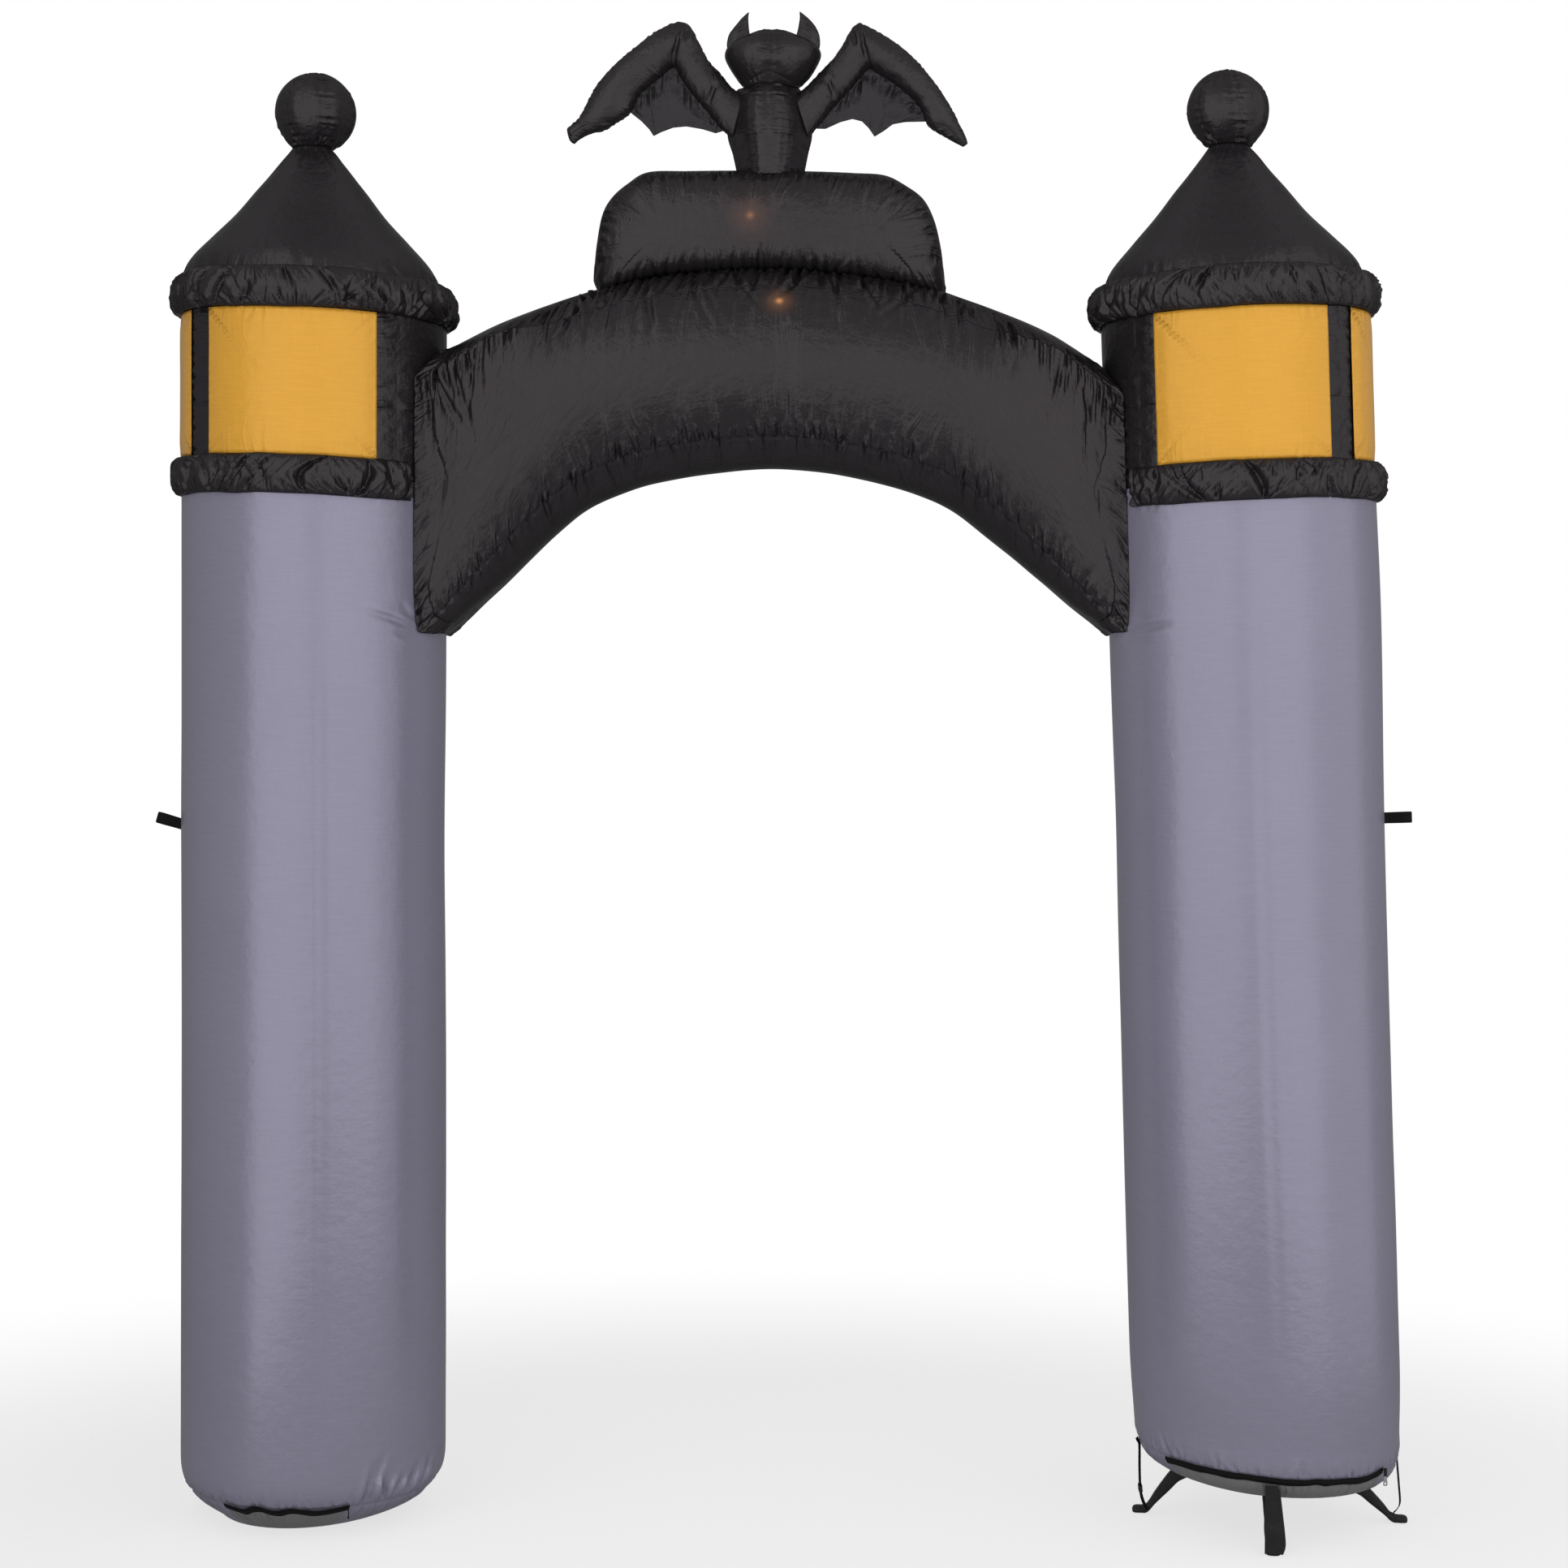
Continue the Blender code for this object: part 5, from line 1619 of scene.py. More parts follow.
@dataclass
class Arch:
    """Arch tube between the columns: two faces, a soffit strip and a top strip."""

    seed: int = 300
    rows: int = 478
    counts: tuple[int, ...] = (38, 14, 38, 26, 88)
    seams: tuple[float, ...] = (42.6, 137.4, 222.6, 317.4)
    raised: float = 13.0
    folds: tuple[Fold, ...] = ()

    def turns(self) -> Array:
        """Set the columns of the grid, closer together at the seams.

        Returns:
            Angles round the section.
        """
        edges = (-self.seams[0], 0.0, *self.seams)
        parts = []
        for start, stop, count in zip(edges[:-1], edges[1:], self.counts):
            share = np.linspace(0.0, 1.0, count + 1)[:-1]
            closer = 0.0 if count == self.counts[0] else 0.08
            parts.append(start + (stop - start) * (share - closer * np.sin(2.0 * math.pi * share)))
        return np.radians(np.concatenate(parts))

    def seat(self, order: int, x: Array) -> Array:
        """Angle of a seam; the two upper ones draw close to the top line in the tube's middle.

        Args:
            order: Number of the seam.
            x: Places along the arch.

        Returns:
            Angles round the section.
        """
        if order in (1, 2):
            return np.full(np.shape(x), self.seams[order])
        raised = self.raised + (self.seams[0] - self.raised) * ease((np.abs(x) - 0.34) / 0.2)
        return raised if order == 0 else 360.0 - raised

    def section(self, row: Array, turn: Array) -> Array:
        """Points round the tube: rounded in its middle, four-sided with sewn corners near the columns.

        Args:
            row: Rows of the station table, with one dimension kept for the angles.
            turn: Angles round the section.

        Returns:
            The points, with their coordinates in the last dimension.
        """
        cosine, sine, corner = np.cos(turn), np.sin(turn), math.radians(self.seams[0])
        powers = np.where(cosine < 0.0, row[..., 5], row[..., 6])
        level, depth = signed_power(cosine, 2.0 / powers), signed_power(sine, 2.0 / powers)
        away = np.abs(wrapped(turn, 2.0 * math.pi))
        q = np.minimum(away / corner, 1.0)
        high = np.where(away < corner, 0.85 + 0.15 * (1.0 - q * q), 0.85 * cosine / math.cos(corner))
        wide = np.sign(sine) * (0.985 * q**0.9 + 0.015 * ease((away - corner) / (math.pi / 2.0 - corner)))
        share = ease((np.abs(row[..., 2]) - 0.36) / 0.16) * (cosine > 0.0)
        level, depth = level + (high - level) * share, depth + (wide - depth) * share
        middle, half = (row[..., 0:2] + row[..., 2:4]) / 2.0, (row[..., 2:4] - row[..., 0:2]) / 2.0
        x, z = middle[..., 0] + half[..., 0] * level, middle[..., 1] + half[..., 1] * level
        return np.stack([x, depth * row[..., 4], z], axis=-1)

    def ends(self, track: Track, turn: Array) -> tuple[Array, Array]:
        """Where the tube meets each column, for every angle round its section.

        Args:
            track: The station table.
            turn: Angles round the section.

        Returns:
            First and last place along the table, for each angle.
        """
        fine = np.linspace(0.0, track.last, 1600)
        points = self.section(track.at(fine)[:, None, :], turn[None, :])
        found = []
        for tower in (LEFT, RIGHT):
            away = np.hypot(points[..., 0] - tower.axis_x(points[..., 2]), points[..., 1])
            inside = away < COLUMN_RADIUS + ARCH_CLEARANCE
            if tower is LEFT:
                last = inside.shape[0] - 1 - np.argmax(inside[::-1], axis=0)
                found.append(fine[np.minimum(last + 1, fine.size - 1)])
            else:
                half = fine.size // 2
                found.append(fine[half + np.argmax(inside[half:], axis=0) - 1])
        return found[0], found[1]

    def build(self) -> bpy.types.Object:
        """Build the arch, trimmed to both columns.

        Returns:
            The arch.
        """
        track, turn = Track(ARCH_STATIONS), self.turns()
        first, last = self.ends(track, turn)
        start, stop = float(first.min()), float(last.max())
        share = by_length(track, (0, 1, 2, 3), self.rows, start, stop)
        share = ((share - start) / (stop - start))[:, None]
        place = first[None, :] + (last - first)[None, :] * share
        points = self.section(track.at(place), turn[None, :])
        x, z = points[..., 0], points[..., 2]
        floor, soft = np.where(np.abs(x) > 0.585, 1.6, -9.0), 0.006
        z = np.where(z < floor + soft, floor + soft * np.exp(np.minimum((z - floor) / soft - 1.0, 0.0)), z)
        points = np.stack([x, points[..., 1], z], axis=-1)
        run = lengths(points, axis=0)
        mean = np.broadcast_to(lengths(points.mean(axis=1))[:, None], run.shape)
        arc, around = girths(points)
        cloth = Cloth(points, np.stack([mean, arc], axis=-1))
        total, end = float(mean.max()), np.minimum(run, run[-1:] - run)
        relief = Drift(self.seed, (0.16, 0.11)).at(mean, arc) * 0.0018
        relief += Drift(self.seed + 1, (0.05, 0.09)).at(mean, arc) * 0.0005
        angle = np.degrees(turn)
        for order in range(len(self.seams)):
            wanted = (self.seat(order, points[..., 0].mean(axis=1)) + self.seams[0]) % 360.0
            seat = np.array(
                [np.interp(turned, angle + self.seams[0], line) for turned, line in zip(wanted, arc)]
            )[:, None]
            away = wrapped(arc - seat, around)
            inner = order in (1, 2)
            relief += (Seam(width=0.0035, depth=0.0022) if inner else Seam(width=0.0042, depth=0.0034)).relief(away)
            face = away if order in (0, 2) else -away
            reach, depths = ((0.03, 0.085), (0.0014, 0.0044)) if inner else ((0.08, 0.205), (0.0026, 0.0078))
            wide = Pleats(
                self.seed + 10 + order, pitch=0.01 if inner else 0.012, width=(0.0044, 0.007), reach=reach,
                depth=depths, lean=0.16
            )
            relief += wide.relief(mean, face, total)
            if inner:
                other = Pleats(
                    self.seed + 20 + order, pitch=0.0125, width=(0.0047, 0.007), reach=(0.02, 0.06),
                    depth=(0.0008, 0.003), lean=0.25
                )
                relief += other.relief(mean, -face, total)
            spread = np.abs(away) * (0.8 if inner else 0.45)
            cloth.gather(mean, spread, ease((0.11 - spread) / 0.06))
        for order, near in enumerate((run, run[-1:] - run)):
            girth = float(around[0 if order == 0 else -1, 0])
            fan = Pleats(
                self.seed + 30 + order, pitch=0.0105, width=(0.0044, 0.0068), reach=(0.022, 0.075),
                depth=(0.0014, 0.0052), lean=0.35
            )
            place = (arc[0:1] if order == 0 else arc[-1:]) + 0.0 * near
            relief += fan.relief(place, near, girth, True)
            cloth.gather(place, near, ease((0.09 - near) / 0.05) * 1.01)
        for fold in self.folds:
            relief += np.where(np.sin(turn)[None, :] < 0.0, fold.relief(points[..., 0], points[..., 2]), 0.0)
        cloth.press(relief * ease(end / 0.01 + 0.12))
        return filled(cloth, "arch", LIT_BLACK)

    def top_at(self, x: Array) -> Array:
        """Height of the tube's top line."""
        line = Track(ARCH_STATIONS).at(np.linspace(0.0, len(ARCH_STATIONS) - 1.0, 600))
        return np.interp(x, line[:, 2], line[:, 3])


@dataclass
class Crest:
    """Pillow sewn on the arch's top, gathered all along its edge."""

    seed: int = 400
    columns: int = 340
    turns: int = 128

    def build(self) -> bpy.types.Object:
        """Build the pillow, sunk a little into the arch.

        Returns:
            The pillow.
        """
        track = Track(CREST_STATIONS)
        place = by_length(track, (2, 3), self.columns)
        row = track.at(place)
        turn = circle(self.turns)
        low = row[:, 0:2] + np.stack([np.zeros(len(row)), np.full(len(row), 0.004)], axis=-1)
        points = oval(low, row[:, 2:4], row[:, 4], np.full(len(row), 3.6), np.full(len(row), 2.3), turn)
        run = lengths(row[:, 2:4])
        x, z = points[..., 0], points[..., 2]
        cloth = Cloth(points, np.stack([x, z], axis=-1))
        relief = Drift(self.seed, (0.09, 0.07)).at(x + 2.0, z + (points[..., 1] > 0)) * 0.0016
        away, share = segment_distance(x, z, [*row[::6, 2:4], row[-1, 2:4]])
        along = share * float(run[-1])
        relief += Seam(width=0.005, depth=0.003).relief(away)
        for order, face in enumerate((points[..., 1] < 0.0, points[..., 1] >= 0.0)):
            pleats = Pleats(
                self.seed + 3 + order, pitch=0.0085, width=(0.0034, 0.0056), reach=(0.022, 0.066), depth=(0.001, 0.004),
                lean=0.2
            )
            relief += np.where(face, pleats.relief(along, away, float(run[-1])), 0.0) * (0.3 + 0.7 * ease(away / 0.01))
        cloth.gather(along, away, ease((0.1 - away) / 0.05))
        relief = relief * (0.1 + 0.9 * ease(away / 0.012))
        above = z - (Arch().top_at(x) - 0.018)
        fan = Pleats(
            self.seed + 8, pitch=0.01, width=(0.0034, 0.0056), reach=(0.022, 0.064), depth=(0.001, 0.0038), lean=0.35
        )
        relief += np.where(points[..., 1] < 0.0, fan.relief(x + 0.4, above, 0.8), fan.relief(x + 0.43, above, 0.8))
        cloth.gather(x, np.maximum(above, 0.0), ease((0.07 - above) / 0.04) * 0.9)
        fade = ease(np.minimum(run, run[-1] - run) / 0.006)[:, None]
        cloth.press(relief * fade)
        return filled(cloth, "crest", LIT_BLACK)


@dataclass
class Bat:
    """Bat over the crest: body, head, ears, bent wing tubes and their membranes."""

    seed: int = 500
    sunk: float = 0.0065
    trunk_samples: int = 100
    ear_samples: tuple[int, int] = (44, 44)
    wing_samples: tuple[int, int] = (200, 66)
    membrane_samples: tuple[int, int] = (78, 40)

    def build(self) -> list[bpy.types.Object]:
        """Build the body, the head and what each side carries.

        Returns:
            Every piece of the bat.
        """
        made = [self.trunk("bat_body", BODY_LEVELS, 0.36, 0.003), self.trunk("bat_head", HEAD_LEVELS, 0.0, 0.0022)]
        for order, side in enumerate(Side):
            made += [self.ear(side, order), self.wing(side, order), self.membrane(side, order)]
        return made

    def trunk(self, name: str, levels: Sequence[Sequence[float]], panel: float, depth: float) -> bpy.types.Object:
        """Body or head, lofted upward, with its panel seams.

        Args:
            name: Name of the piece.
            levels: Its table.
            panel: Half width of the centre panel as a share of the half width; 0 for a centre seam.
            depth: Depth of the seams.

        Returns:
            The piece.
        """
        track = Track([(left, height, right, height, half) for height, left, right, half in levels])
        row = track.at(by_length(track, (0, 1), self.trunk_samples))
        turn = circle(self.trunk_samples)
        power = np.full(len(row), 2.4 if panel else 2.1)
        points = oval(row[:, 0:2], row[:, 2:4], row[:, 4], power, power, turn)
        centre = (row[:, 0] + row[:, 2]) / 2.0
        half = (row[:, 2] - row[:, 0]) / 2.0
        if panel:
            wide = np.abs(points[..., 0] - centre[:, None]) / half[:, None]
            over = np.clip((wide - panel) / (1.0 - panel), 0.0, 1.0)
            deep = np.where(wide < panel, 1.0 - 0.06 * (wide / panel) ** 2, 0.94 * (1.0 - over**1.03))
            points[..., 1] = np.sign(points[..., 1]) * deep * row[:, 4:5]
        x, z = points[..., 0], points[..., 2]
        height = np.broadcast_to(z.mean(axis=1)[:, None], z.shape)
        share = (x - centre[:, None]) / half[:, None]
        cloth = Cloth(points, np.stack([x + (points[..., 1] > 0) * 0.7, z], axis=-1))
        seed = self.seed + len(levels)
        relief = Drift(seed, (0.05, 0.05)).at(x + 1.0, z + (points[..., 1] > 0)) * 0.001
        for order, seat in enumerate((-panel, panel) if panel else (0.0,)):
            away = (share - seat) * half[:, None]
            relief += Seam(width=0.0028, depth=depth).relief(away)
            for sign in (-1.0, 1.0):
                pleats = Pleats(
                    seed + 3 + order, pitch=0.009, width=(0.0024, 0.004), reach=(0.006, 0.022), depth=(0.0003, 0.0013),
                    lean=0.4
                )
                relief += pleats.relief(z - z.min(), away * sign, float(np.ptp(z)))
            cloth.gather(z, np.abs(away), 0.8 * ease((0.035 - np.abs(away)) / 0.02))
        around = float(girths(points)[1][len(row) // 2, 0])
        flat = np.broadcast_to(turn[None, :] / (2.0 * math.pi) * around, z.shape)
        rim = Pleats(
            seed + 8, pitch=0.009, width=(0.0026, 0.0044), reach=(0.01, 0.03), depth=(0.0006, 0.0026), lean=0.3
        )
        relief += rim.relief(flat, height - height.min(), around, True)
        relief += rim.relief(flat + 0.4, height.max() - height, around, True)
        if not panel:
            away = segment_distance(x, z, ((-0.06, 2.595), (-0.0129, 2.6135), (0.039, 2.595)))[0]
            relief += Seam(width=0.0024, depth=depth * 0.5).relief(away) * (points[..., 1] < 0.0)
        ends = ease((height - height.min()) / 0.004) * ease((height.max() - height) / 0.004)
        cloth.press(relief * ends)
        return filled(cloth, name)

    def tube(
        self,
        name: str,
        stations: Sequence[Sequence[float]],
        samples: tuple[int, int],
        seed: int,
        reach: float,
        folds: Sequence[Fold] = (),
    ) -> bpy.types.Object:
        """A slim blown-up piece with a seam along its outer edge.

        Args:
            name: Name of the piece.
            stations: Its table.
            samples: Samples along it and round it.
            seed: Start of its gathers.
            reach: Longest gather.
            folds: Creases drawn on both faces, by x and z.

        Returns:
            The piece.
        """
        track, (rows, sides) = Track(stations), samples
        row = track.at(by_length(track, (0, 1, 2, 3), rows))
        turn = circle(sides)
        power = np.full(rows, 2.0)
        points = oval(row[:, 0:2], row[:, 2:4], np.maximum(row[:, 4], 0.001), power, power, turn)
        inner, outer = lengths(row[:, 0:2]), lengths(row[:, 2:4])
        arc, around = girths(points)
        run = np.broadcast_to(outer[:, None], arc.shape)
        cloth = Cloth(points, np.stack([run, arc], axis=-1))
        relief = Drift(seed, (0.04, 0.03)).at(run, arc) * 0.0008
        for order, (seat, size) in enumerate(((0.0, outer), (0.5, inner))):
            away = wrapped(arc - seat * around, around)
            part = Seam(width=0.0024, depth=0.0018).relief(away)
            line = np.broadcast_to(size[:, None], arc.shape)
            for sign in (-1.0, 1.0):
                first = seed + 3 + order * 2 + int(sign)
                pleats = Pleats(
                    first, pitch=0.0085, width=(0.0022, 0.004), reach=(reach * 0.3, reach), depth=(0.0009, 0.0034),
                    lean=0.3
                )
                part += pleats.relief(line, away * sign, float(size[-1]))
            relief += part * (0.1 + 0.9 * ease(np.abs(away) / 0.012))
            cloth.gather(line, np.abs(away), ease((reach * 1.3 - np.abs(away)) / reach))
        for fold in folds:
            relief += fold.relief(points[..., 0], points[..., 2])
        fade = ease(np.minimum(np.arange(rows), np.arange(rows)[::-1]) / 6.0)[:, None]
        thin = np.minimum(1.0, (row[:, 4] / 0.02))[:, None]
        cloth.press(relief * fade * thin)
        return filled(cloth, name)

    def ear(self, side: Side, order: int) -> bpy.types.Object:
        """Build one ear.

        Args:
            side: Which ear.
            order: Number of the side, for the random draws.

        Returns:
            The ear.
        """
        return self.tube(
            "bat_ear_" + side.value, EAR_STATIONS[side], self.ear_samples, self.seed + 40 + 10 * order, 0.01
        )

    def wing(self, side: Side, order: int) -> bpy.types.Object:
        """Build one wing tube, bent at the wrist.

        Args:
            side: Which wing.
            order: Number of the side, for the random draws.

        Returns:
            The wing tube.
        """
        name, seed = "bat_wing_" + side.value, self.seed + 60 + 10 * order
        folds = [Fold(line, width=0.0045, depth=0.005) for line in WING_CREASES[side]]
        return self.tube(name, WING_STATIONS[side], self.wing_samples, seed, 0.032, folds)

    def membrane(self, side: Side, order: int) -> bpy.types.Object:
        """Build the thin cloth in the bend of a wing.

        Args:
            side: Which wing.
            order: Number of the side, for the random draws.

        Returns:
            The membrane.
        """
        outline = np.array(MEMBRANES[side])
        corner = int(np.argmin(np.abs(outline[:, 0] - MEMBRANE_CORNERS[side])))
        along, out = self.membrane_samples
        tube, free = outline[: corner + 1], outline[corner + 1 :][::-1]
        tube, free = self.even(tube, along), self.even(np.concatenate([outline[:1], free]), along)
        heading = np.gradient(tube, axis=0)
        outward = np.stack([-heading[:, 1], heading[:, 0]], axis=-1) * (-side.outward)
        tube = tube - self.sunk * outward / np.linalg.norm(outward, axis=1)[:, None]
        share = np.linspace(0.0, 1.0, out)[None, :, None]
        flat = tube[:, None, :] * (1.0 - share) + free[:, None, :] * share
        x, z = flat[..., 0], flat[..., 1]
        seed = self.seed + 90 + 10 * order
        rim = segment_distance(x, z, np.concatenate([outline, outline[:1]]))[0]
        run = np.broadcast_to(lengths(tube)[:, None], x.shape)
        relief = 0.005 * ease(rim / 0.03)
        relief = relief + Drift(seed, (0.022, 0.022)).at(x + 1.0, z) * 0.0022 * ease(rim / 0.012)
        pleats = Pleats(
            seed + 2, pitch=0.01, width=(0.0029, 0.0054), reach=(0.015, 0.05), depth=(0.0023, 0.0069), lean=0.35
        )
        relief += pleats.relief(run, share[..., 0] * 0.06 + 0.0 * x, float(run.max())) * ease(rim / 0.006)
        back, front = (np.stack([x, skin - relief, z], axis=-1) for skin in (-0.0006, 0.0006))
        points = np.concatenate([back, front[:, ::-1]], axis=1)
        lay = np.concatenate([flat, flat[:, ::-1]], axis=1)
        mark = np.stack([run, rim, np.full(x.shape, 1.0)], axis=-1)
        name = "bat_membrane_" + side.value
        cloth = Cloth(points, lay, np.concatenate([mark, mark[:, ::-1]], axis=1))
        made = dress(cloth.build(name), THIN_BLACK, name)
        return made

    def even(self, line: Array, count: int) -> Array:
        """A line's points, evenly spread.

        Args:
            line: Corners of the line.
            count: How many points are wanted.

        Returns:
            The points.
        """
        run = lengths(line)
        wanted = np.linspace(0.0, run[-1], count)
        return np.stack([np.interp(wanted, run, line[:, axis]) for axis in range(2)], axis=-1)


# --------------------------------------------------------------------------- fittings


def strip(
    name: str, path: Array, side: Array, width: float, thickness: float, finish: Any, *nodes: str
) -> bpy.types.Object:
    """Flat webbing along a path, with rounded edges.

    Args:
        name: Name of the piece.
        path: Points along its middle.
        side: Unit vector across it.
        width: Its width.
        thickness: Its thickness.
        finish: Its finish.
        *nodes: CAD nodes that it replaces.

    Returns:
        The piece.
    """
    heading = np.gradient(path, axis=0)
    heading /= np.linalg.norm(heading, axis=1)[:, None]
    out = np.cross(heading, side)
    turn = circle(32)
    u = signed_power(np.cos(turn), 0.25) * width / 2.0
    v = signed_power(np.sin(turn), 0.7) * thickness / 2.0
    v = v * (1.0 - 0.25 * (np.abs(u) > 0.42 * width))
    points = path[:, None, :] + u[None, :, None] * side + v[None, :, None] * out[:, None, :]
    run = np.broadcast_to(lengths(path)[:, None], points.shape[:2])
    cloth = Cloth(points, np.stack([np.broadcast_to(u, run.shape), run], axis=-1))
    return dress(cloth.build(name), finish, *nodes)


def plate(
    name: str, outlines: Sequence[Sequence[tuple[float, float]]], thickness: float, bevel: float, matrix: Matrix,
    finish: Any, *nodes: str
) -> bpy.types.Object:
    """A flat outline with holes, thickened and rounded at its edges.

    Args:
        name: Name of the piece.
        outlines: Outer outline, then its holes.
        thickness: Whole thickness.
        bevel: Radius of the rounded edges.
        matrix: Where its own plane lies.
        finish: Its finish.
        *nodes: CAD nodes that it replaces.

    Returns:
        The piece.
    """
    data = bpy.data.curves.new(name, "CURVE")
    data.dimensions, data.fill_mode = "2D", "BOTH"
    data.extrude, data.bevel_depth, data.bevel_resolution = thickness / 2.0 - bevel, bevel, 3
    data.offset = -bevel
    for outline in outlines:
        spline = data.splines.new("POLY")
        spline.points.add(len(outline) - 1)
        for point, (u, v) in zip(spline.points, outline):
            point.co = (u, v, 0.0, 1.0)
        spline.use_cyclic_u = True
    drawn = bpy.data.objects.new(name + "_outline", data)
    bpy.context.scene.collection.objects.link(drawn)
    bpy.context.view_layer.update()
    mesh = bpy.data.meshes.new_from_object(drawn.evaluated_get(bpy.context.evaluated_depsgraph_get()))
    bpy.data.objects.remove(drawn, do_unlink=True)
    mesh.transform(matrix)
    mesh.name = name + "_shape"
    made = bpy.data.objects.new(name + "_shape", mesh)
    bpy.context.scene.collection.objects.link(made)
    return dress(made, finish, *nodes)


def rounded(width: float, height: float, radius: float, steps: int = 6) -> list[tuple[float, float]]:
    """A rectangle's outline with rounded corners.

    Args:
        width: Its width.
        height: Its height.
        radius: Radius of the corners.
        steps: Points to a corner.

    Returns:
        The outline.
    """
    line = []
    for quarter, (sx, sy) in enumerate(((1, 1), (-1, 1), (-1, -1), (1, -1))):
        for step in range(steps + 1):
            turn = (quarter + step / steps) * math.pi / 2.0
            u = sx * (width / 2.0 - radius) + radius * math.cos(turn)
            line.append((u, sy * (height / 2.0 - radius) + radius * math.sin(turn)))
    return line


@dataclass
class FootZip:
    """Zip tape at the foot of a column, with the pull at its end."""

    tower: Tower
    seed: int
    half: float = 0.006
    step: float = 0.42
    tooth: float = 0.0021
    cord_place: float = 27.0
    cord_length: float = 0.0235
    pull_place: float = 51.0

    def build(self) -> list[bpy.types.Object]:
        """Build the tape along the foot, then its pull.

        Returns:
            The tape and its pull.
        """
        tower, name = self.tower, self.tower.side.value
        degrees = spaced((*tower.zip_arc, self.step))
        s = np.radians(degrees) * COLUMN_RADIUS
        drift = Drift(self.seed, (0.018, 0.05))
        wave = drift.at(s + 1.0, 0.0 * s) * 0.0008
        lower = drift.at(s + 1.0, 0.0 * s + 3.0) * 0.0012
        share = np.concatenate([np.linspace(-1.0, 1.0, 25), [0.8, 0.0, -0.8]])
        outer = np.arange(share.size) < 25
        offset = share[None, :] * self.half + wave[:, None] + (share < 0.0)[None, :] * lower[:, None]
        rise = tower.zip_line(degrees)[:, None] + offset
        radius = smooth_profile(tower.foot, rise)
        teeth = np.sin(s * 2.0 * math.pi / self.tooth)[:, None] * np.where(share > 0.0, 1.0, -1.0)[None, :]
        coil = np.exp(-((share / 0.24) ** 2))[None, :] * (0.0013 + 0.00035 * teeth)
        stitch = -0.0003 * np.exp(-(((np.abs(share) - 0.72) / 0.08) ** 2))[None, :]
        out = np.where(outer[None, :], 0.0033 + coil + stitch, 0.0018)
        out = out + Drift(self.seed + 1, (0.02, 1.0)).at(s, 0.0 * s)[:, None] * 0.0005
        points = tower.place(degrees[:, None], radius + out, tower.bottom + rise, tower.bottom_slope)
        lay = np.stack([np.broadcast_to(s[:, None], rise.shape), offset], axis=-1)
        made = [dress(Cloth(points, lay).build("zip_" + name), TAPE, "zip_" + name)]
        return made + [self.cord_pull() if tower.side is Side.LEFT else self.steel_pull()]

    def cord_pull(self) -> bpy.types.Object:
        """Build the short cord on the left zip, knotted at its end.

        Returns:
            The cord.
        """
        tower, angle = self.tower, np.array(self.cord_place)
        top = float(tower.zip_line(angle)) + self.half
        radius = float(smooth_profile(tower.foot, np.array([top]))[0]) + 0.0045 + SEWN_GAP
        x, y, z = tower.place(angle, radius, tower.bottom + top, 0.0)
        fall = np.linspace(0.0, 1.0, 40)
        sway = (x + 0.0008 * np.sin(fall * 3.0), y - 0.0006 * np.sin(fall * math.pi))
        path = np.stack([*sway, z - self.cord_length * fall], axis=-1)
        knot, start = np.exp(-(((fall - 0.9) / 0.07) ** 2)), np.exp(-((fall / 0.05) ** 2))
        size = (0.001 + 0.0009 * knot + 0.0003 * start) * np.sqrt(np.clip((1.0 - fall) * 14.0, 0.05, 1.0))
        turn = circle(16)
        ring = np.stack([np.cos(turn), np.sin(turn), np.zeros(turn.size)], axis=-1)
        points = path[:, None, :] + ring[None] * size[:, None, None]
        lay = np.stack(np.broadcast_arrays(turn[None, :] * 0.001, fall[:, None] * self.cord_length), axis=-1)
        return dress(Cloth(points, lay).build("zip_pull_left"), CORD, "zip_pull_left")

    def steel_pull(self) -> bpy.types.Object:
        """Build the steel pull that hangs from the right zip, below its plastic tab.

        Returns:
            The pull.
        """
        tower, node = self.tower, "zip_pull_right"
        height = tower.bottom + tower.zip_height - 0.0065
        x, y, z = tower.place(np.array(self.pull_place), COLUMN_RADIUS + 0.0024, height, tower.bottom_slope)
        facing = Matrix.Rotation(math.radians(20.0), 4, "Z") @ Matrix.Rotation(math.radians(90.0), 4, "X")
        shape = [
            (-0.0028, -0.01), (0.0028, -0.01), (0.0038, -0.0088), (0.004, -0.006), (0.0024, 0.009), (0.0016, 0.0102)
        ]
        shape += [(-u, v) for u, v in reversed(shape[2:])]
        eye = [(u, v - 0.006) for u, v in rounded(0.0036, 0.004, 0.0012)]
        hung, raised = (Matrix.Translation((x, y, z + rise)) @ facing for rise in (0.0, 0.0138))
        plate(node + "_tab", [rounded(0.0056, 0.015, 0.0018)], 0.0026, 0.0006, raised, PLASTIC, node)
        return plate(node, [shape, eye], 0.0014, 0.0003, hung, STEEL, node)


